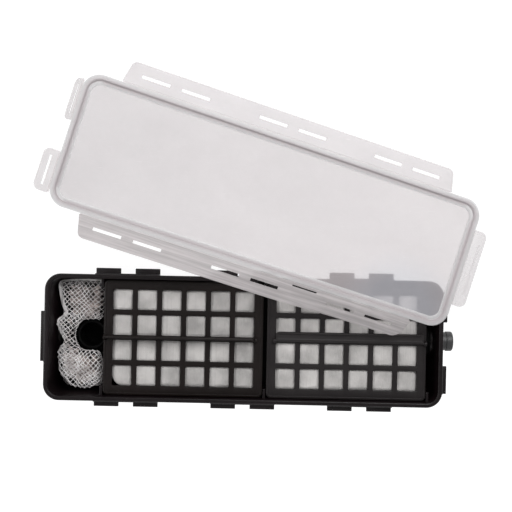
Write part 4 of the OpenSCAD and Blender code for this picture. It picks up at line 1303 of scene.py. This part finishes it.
class FILTER_OT_flaps(bpy.types.Operator):
    """Model the slotted flaps and their thin moulded hinges"""
    bl_idname = "filter.flaps"
    bl_label = "Lid flaps"

    def execute(self, context):
        s, tub = context.scene.filter_lid, context.scene.filter_tub
        colours = context.scene.filter_colours
        clear = frosted("flap_frosted", colours.lid, 0.40)
        thin = frosted("end_flap_frosted", colours.lid, 0.36)
        # painted shade: the near flap is a darker copy of the lid's sheet, for the shade it hangs
        # in
        dull = frosted("flap_handled", tint(colours.flap, 0.91), 0.82, streaks=0.08)
        # painted light: the hinge webs are paler than the sheets, for the glints along the hinges
        hinges = frosted("hinge_frosted", tint(colours.flap, 1.25), 0.7)
        lid = lid_matrix()
        pitch, offset, flare = (size / MM for size in (tub.pair_pitch, tub.tab_offset,
                                                       s.flap_flare))
        half_l, half_w = s.plan_length / 2, s.plan_width / 2
        # cuts: distance from the hinge, place along it, width, length
        slots = [(9.5, p + h, 3.1, 28) for p in (-pitch, 0, pitch) for h in (-offset, offset)]
        slit = (2.4, pitch / 2, 1.4, 25)
        # flap: turn about the lid, lid edge, place along it, length, flare, reach, the two
        # corners, cuts, angle, finish
        for name, turn, edge, along, span, flared, reach, corners, cuts, bent, finish in (
                ("front_flap", 90, half_w, 0, 326, flare, 21.3, (6, 12), [*slots, slit], 0, dull),
                ("rear_flap", -90, half_w, 0, 326, flare, 21.3, (6, 6), slots, 0, clear),
                ("wide_end_flap", 180, half_l, 0, 77, 0, 12.9, (6.5, 6.5), [], 0, thin),
                ("end_clip_a", 0, half_l, 36, 41, 0, 14.5, (6.5, 6.5), [(6.9, 0, 2.1, 29.4)],
                 0, clear),
                ("end_clip_b", 0, half_l, -36, 41, 0, 14.5, (6.5, 6.5), [(6.9, 0, 3.1, 29.4)],
                 55, clear)):
            hinge = lid @ spin(math.radians(turn)) @ move(edge + s.hinge_out, along * MM)
            flap = self.flap(s, name, *mm(span, flared, reach), corners, cuts)
            bent = math.radians(bent)
            turned = hinge @ spin(bent, "Y")
            if name == "front_flap":
                self.hang(flap, s.droop)
            if name == "wide_end_flap":
                rib = block("wide_flap_rib", mm(2, 50.6, 2.2), mm(8.9, 0, -1.7), 0.4 * MM)
                stand_for(put(rib, turned), name, [], frosted("rib_frosted", colours.lid, 0.1))
            stand_for(put(flap, turned), name, [name], finish)
            self.web(s, name, hinge, (span + 2 * flared) * MM, bent, hinges)
        return {"FINISHED"}

    def flap(self, s, name, span, flare, reach, corners, cuts):
        """Slotted plate whose hinge edge lies on the Y axis and whose free corners are round."""
        plate = sheet_face(name + "_plate", reach, span)
        slope = math.atan2(flare, reach)
        with editing(plate):
            pick_all()
            shift(reach / 2)
            pick(plate, "verts", lambda co, _: co.x < reach / 2)
            resize(1, 1 + 2 * flare / span)
            for side, corner in zip((-1, 1), corners):
                pick(plate, "verts", lambda co, _: co.x > reach - TINY
                     and co.y * side > span / 2 - TINY)
                bevel(corner * MM * math.tan(math.pi / 4 - slope / 2), 8, "VERTICES")
        if cuts:
            # the near flap gets enough rows to bend along
            more = (mm(4, 6, 14, 17), mm(*range(-160, 161, 10)))
            cut_out(plate, [hole(x, y, w, l, MM) for x, y, w, l in cuts],
                    more if name == "front_flap" else ((), ()))
        modify(plate, "SOLIDIFY", thickness=s.flap_thick, offset=0, use_even_offset=True)
        return soften(outwards(plate), 0.4 * MM, 2)

    def hang(self, flap, droop):
        """Bends the loose half of the thin flap down, from a little beyond its hinge."""
        first_y, over_y, first_x, over_x, pivot_x = mm(4, 96, 2, 5, 4)
        for vertex in flap.data.vertices:
            co = vertex.co
            bent = droop * ease((co.y - first_y) / over_y) * min(
                1, max(0, co.x - first_x) / over_x)
            pivot = Vector((pivot_x, co.y, 0))
            vertex.co = pivot + Matrix.Rotation(bent, 3, "Y") @ (co - pivot)

    def web(self, s, name, hinge, span, bent, finish):
        """Thin web between the lid's edge and the flap, which bends with the flap."""
        overlap, rows = 0.15 * MM, 10
        first, last = -s.hinge_out - overlap, overlap
        web = sheet_face(name + "_hinge", last - first, span - 2 * MM)
        with editing(web):
            pick_all()
            shift((first + last) / 2)
            for k in range(1, rows):
                cut_at(0, first + (last - first) * k / rows)
        modify(web, "SOLIDIFY", thickness=0.4 * MM, offset=0)
        for vertex in web.data.vertices:
            share = ease((vertex.co.x + s.hinge_out) / s.hinge_out)
            vertex.co = Matrix.Rotation(bent * share, 3, "Y") @ vertex.co
        web.data.transform(hinge)
        dress(smooth(web, 40), finish)
        hinge @ Vector((-s.hinge_out, 0, 0))
        hinge @ Vector((0.2 * MM, 0, 0))
        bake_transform(web)


class FILTER_OT_stage(bpy.types.Operator):
    """Set the pale floor, the soft lamps and the camera"""
    bl_idname = "filter.stage"
    bl_label = "Stage"

    def execute(self, context):
        scene = context.scene
        s = scene.filter_stage
        floor = add("plane", "studio_floor", size=6)
        dress(floor, self.paper("studio_paper"))
        scene.world = self.backdrop("studio", s.sky)
        for name, place, size, watts in (("key_lamp", (0.45, 0.85, 1.25), 0.9, s.key),
                                         ("left_lamp", (-1.0, 0.1, 0.9), 0.8, s.fill),
                                         ("front_lamp", (0.1, -0.9, 0.9), 0.8, s.front)):
            data = bpy.data.lights.new(name, "AREA")
            data.shape, data.size, data.energy = "DISK", size, watts
            towards = Vector(mm(0, 80, 50)) - Vector(place)
            self.place(data, place, towards.to_track_quat("-Z", "Y").to_euler())
        data = bpy.data.cameras.new("camera")
        data.lens, data.sensor_width, data.sensor_fit = s.lens, 36, "HORIZONTAL"
        data.clip_start, data.clip_end = 0.05, 20
        scene.camera = self.place(data, (*mm(10.7, 85), s.height), (0, 0, s.turn))
        scene.view_settings.view_transform = "Standard"
        return {"FINISHED"}

    def place(self, data, place, turn):
        """Puts a lamp or camera in the scene."""
        item = bpy.data.objects.new(data.name, data)
        bpy.context.scene.collection.objects.link(item)
        item.location, item.rotation_euler = place, turn
        return item

    def backdrop(self, name, sky):
        """Even soft light, with a white backdrop that stands low all round."""
        f = Finish(name, world=bpy.data.worlds.new(name))
        seen, through, mirrored = f.rays("Camera", "Transmission", "Glossy")
        low = f.band(f.part("Z"), 0.1, 0.3, 1, 0)
        light, white = (f.node("Background", {"Color": (1, 1, 1), "Strength": strength})
                        for strength in (sky, 0.95))
        return f.ended(f.node("MixShader", {
            0: f.band(seen + through + mirrored * low, 0, 1), 1: light, 2: white}), "World")

    def paper(self, name):
        """White paper: lit as usual, and brightened where a camera, mirror or glass ray sees
        it."""
        f = Finish(name)
        seen, mirrored, through = f.rays("Camera", "Glossy", "Transmission")
        shown = f.band(seen + mirrored + through, 0, 1)
        # in front of the tub, where no lid lies over the paper, its shadow fades to white
        front = f.band(f.part("Y"), 0, 0.03, 0.3, 0)
        plain = f.node("BsdfDiffuse", {"Color": f.blend((0.86, 0.86, 0.86), (0.9, 0.9, 0.9),
                                                      f.cloud(700, 3))})
        glow = f.node("Emission", {"Color": (1, 1, 1), "Strength": 1.15})
        return f.ended(f.node("MixShader", {0: shown * 0.7 + seen * front, 1: plain, 2: glow}))


class FILTER_PT_panel(bpy.types.Panel):
    """Lists the steps and the sizes they use"""
    bl_idname = "FILTER_PT_panel"
    bl_label = "Box Filter"
    bl_space_type = "VIEW_3D"
    bl_region_type = "UI"
    bl_category = "Box Filter"

    def draw(self, context):
        for step in STEPS:
            self.layout.operator(step.bl_idname)
        for name, group in GROUPS.items():
            box = self.layout.box()
            box.label(text=group.__doc__)
            for field in group.__annotations__:
                box.prop(getattr(context.scene, name), field)


STEPS = (FILTER_OT_tub, FILTER_OT_fittings, FILTER_OT_cassettes, FILTER_OT_pads, FILTER_OT_bag,
         FILTER_OT_lid, FILTER_OT_flaps, FILTER_OT_stage)
CLASSES = (*GROUPS.values(), *STEPS, FILTER_PT_panel)


def register():
    for item in CLASSES:
        bpy.utils.register_class(item)
    for name, group in GROUPS.items():
        setattr(bpy.types.Scene, name, PointerProperty(type=group))


def unregister():
    for name in GROUPS:
        delattr(bpy.types.Scene, name)
    for item in reversed(CLASSES):
        bpy.utils.unregister_class(item)


def main():
    register()
    for step in STEPS:
        group, name = step.bl_idname.split(".")
        getattr(getattr(bpy.ops, group), name)()


if __name__ == "__main__":
    main()
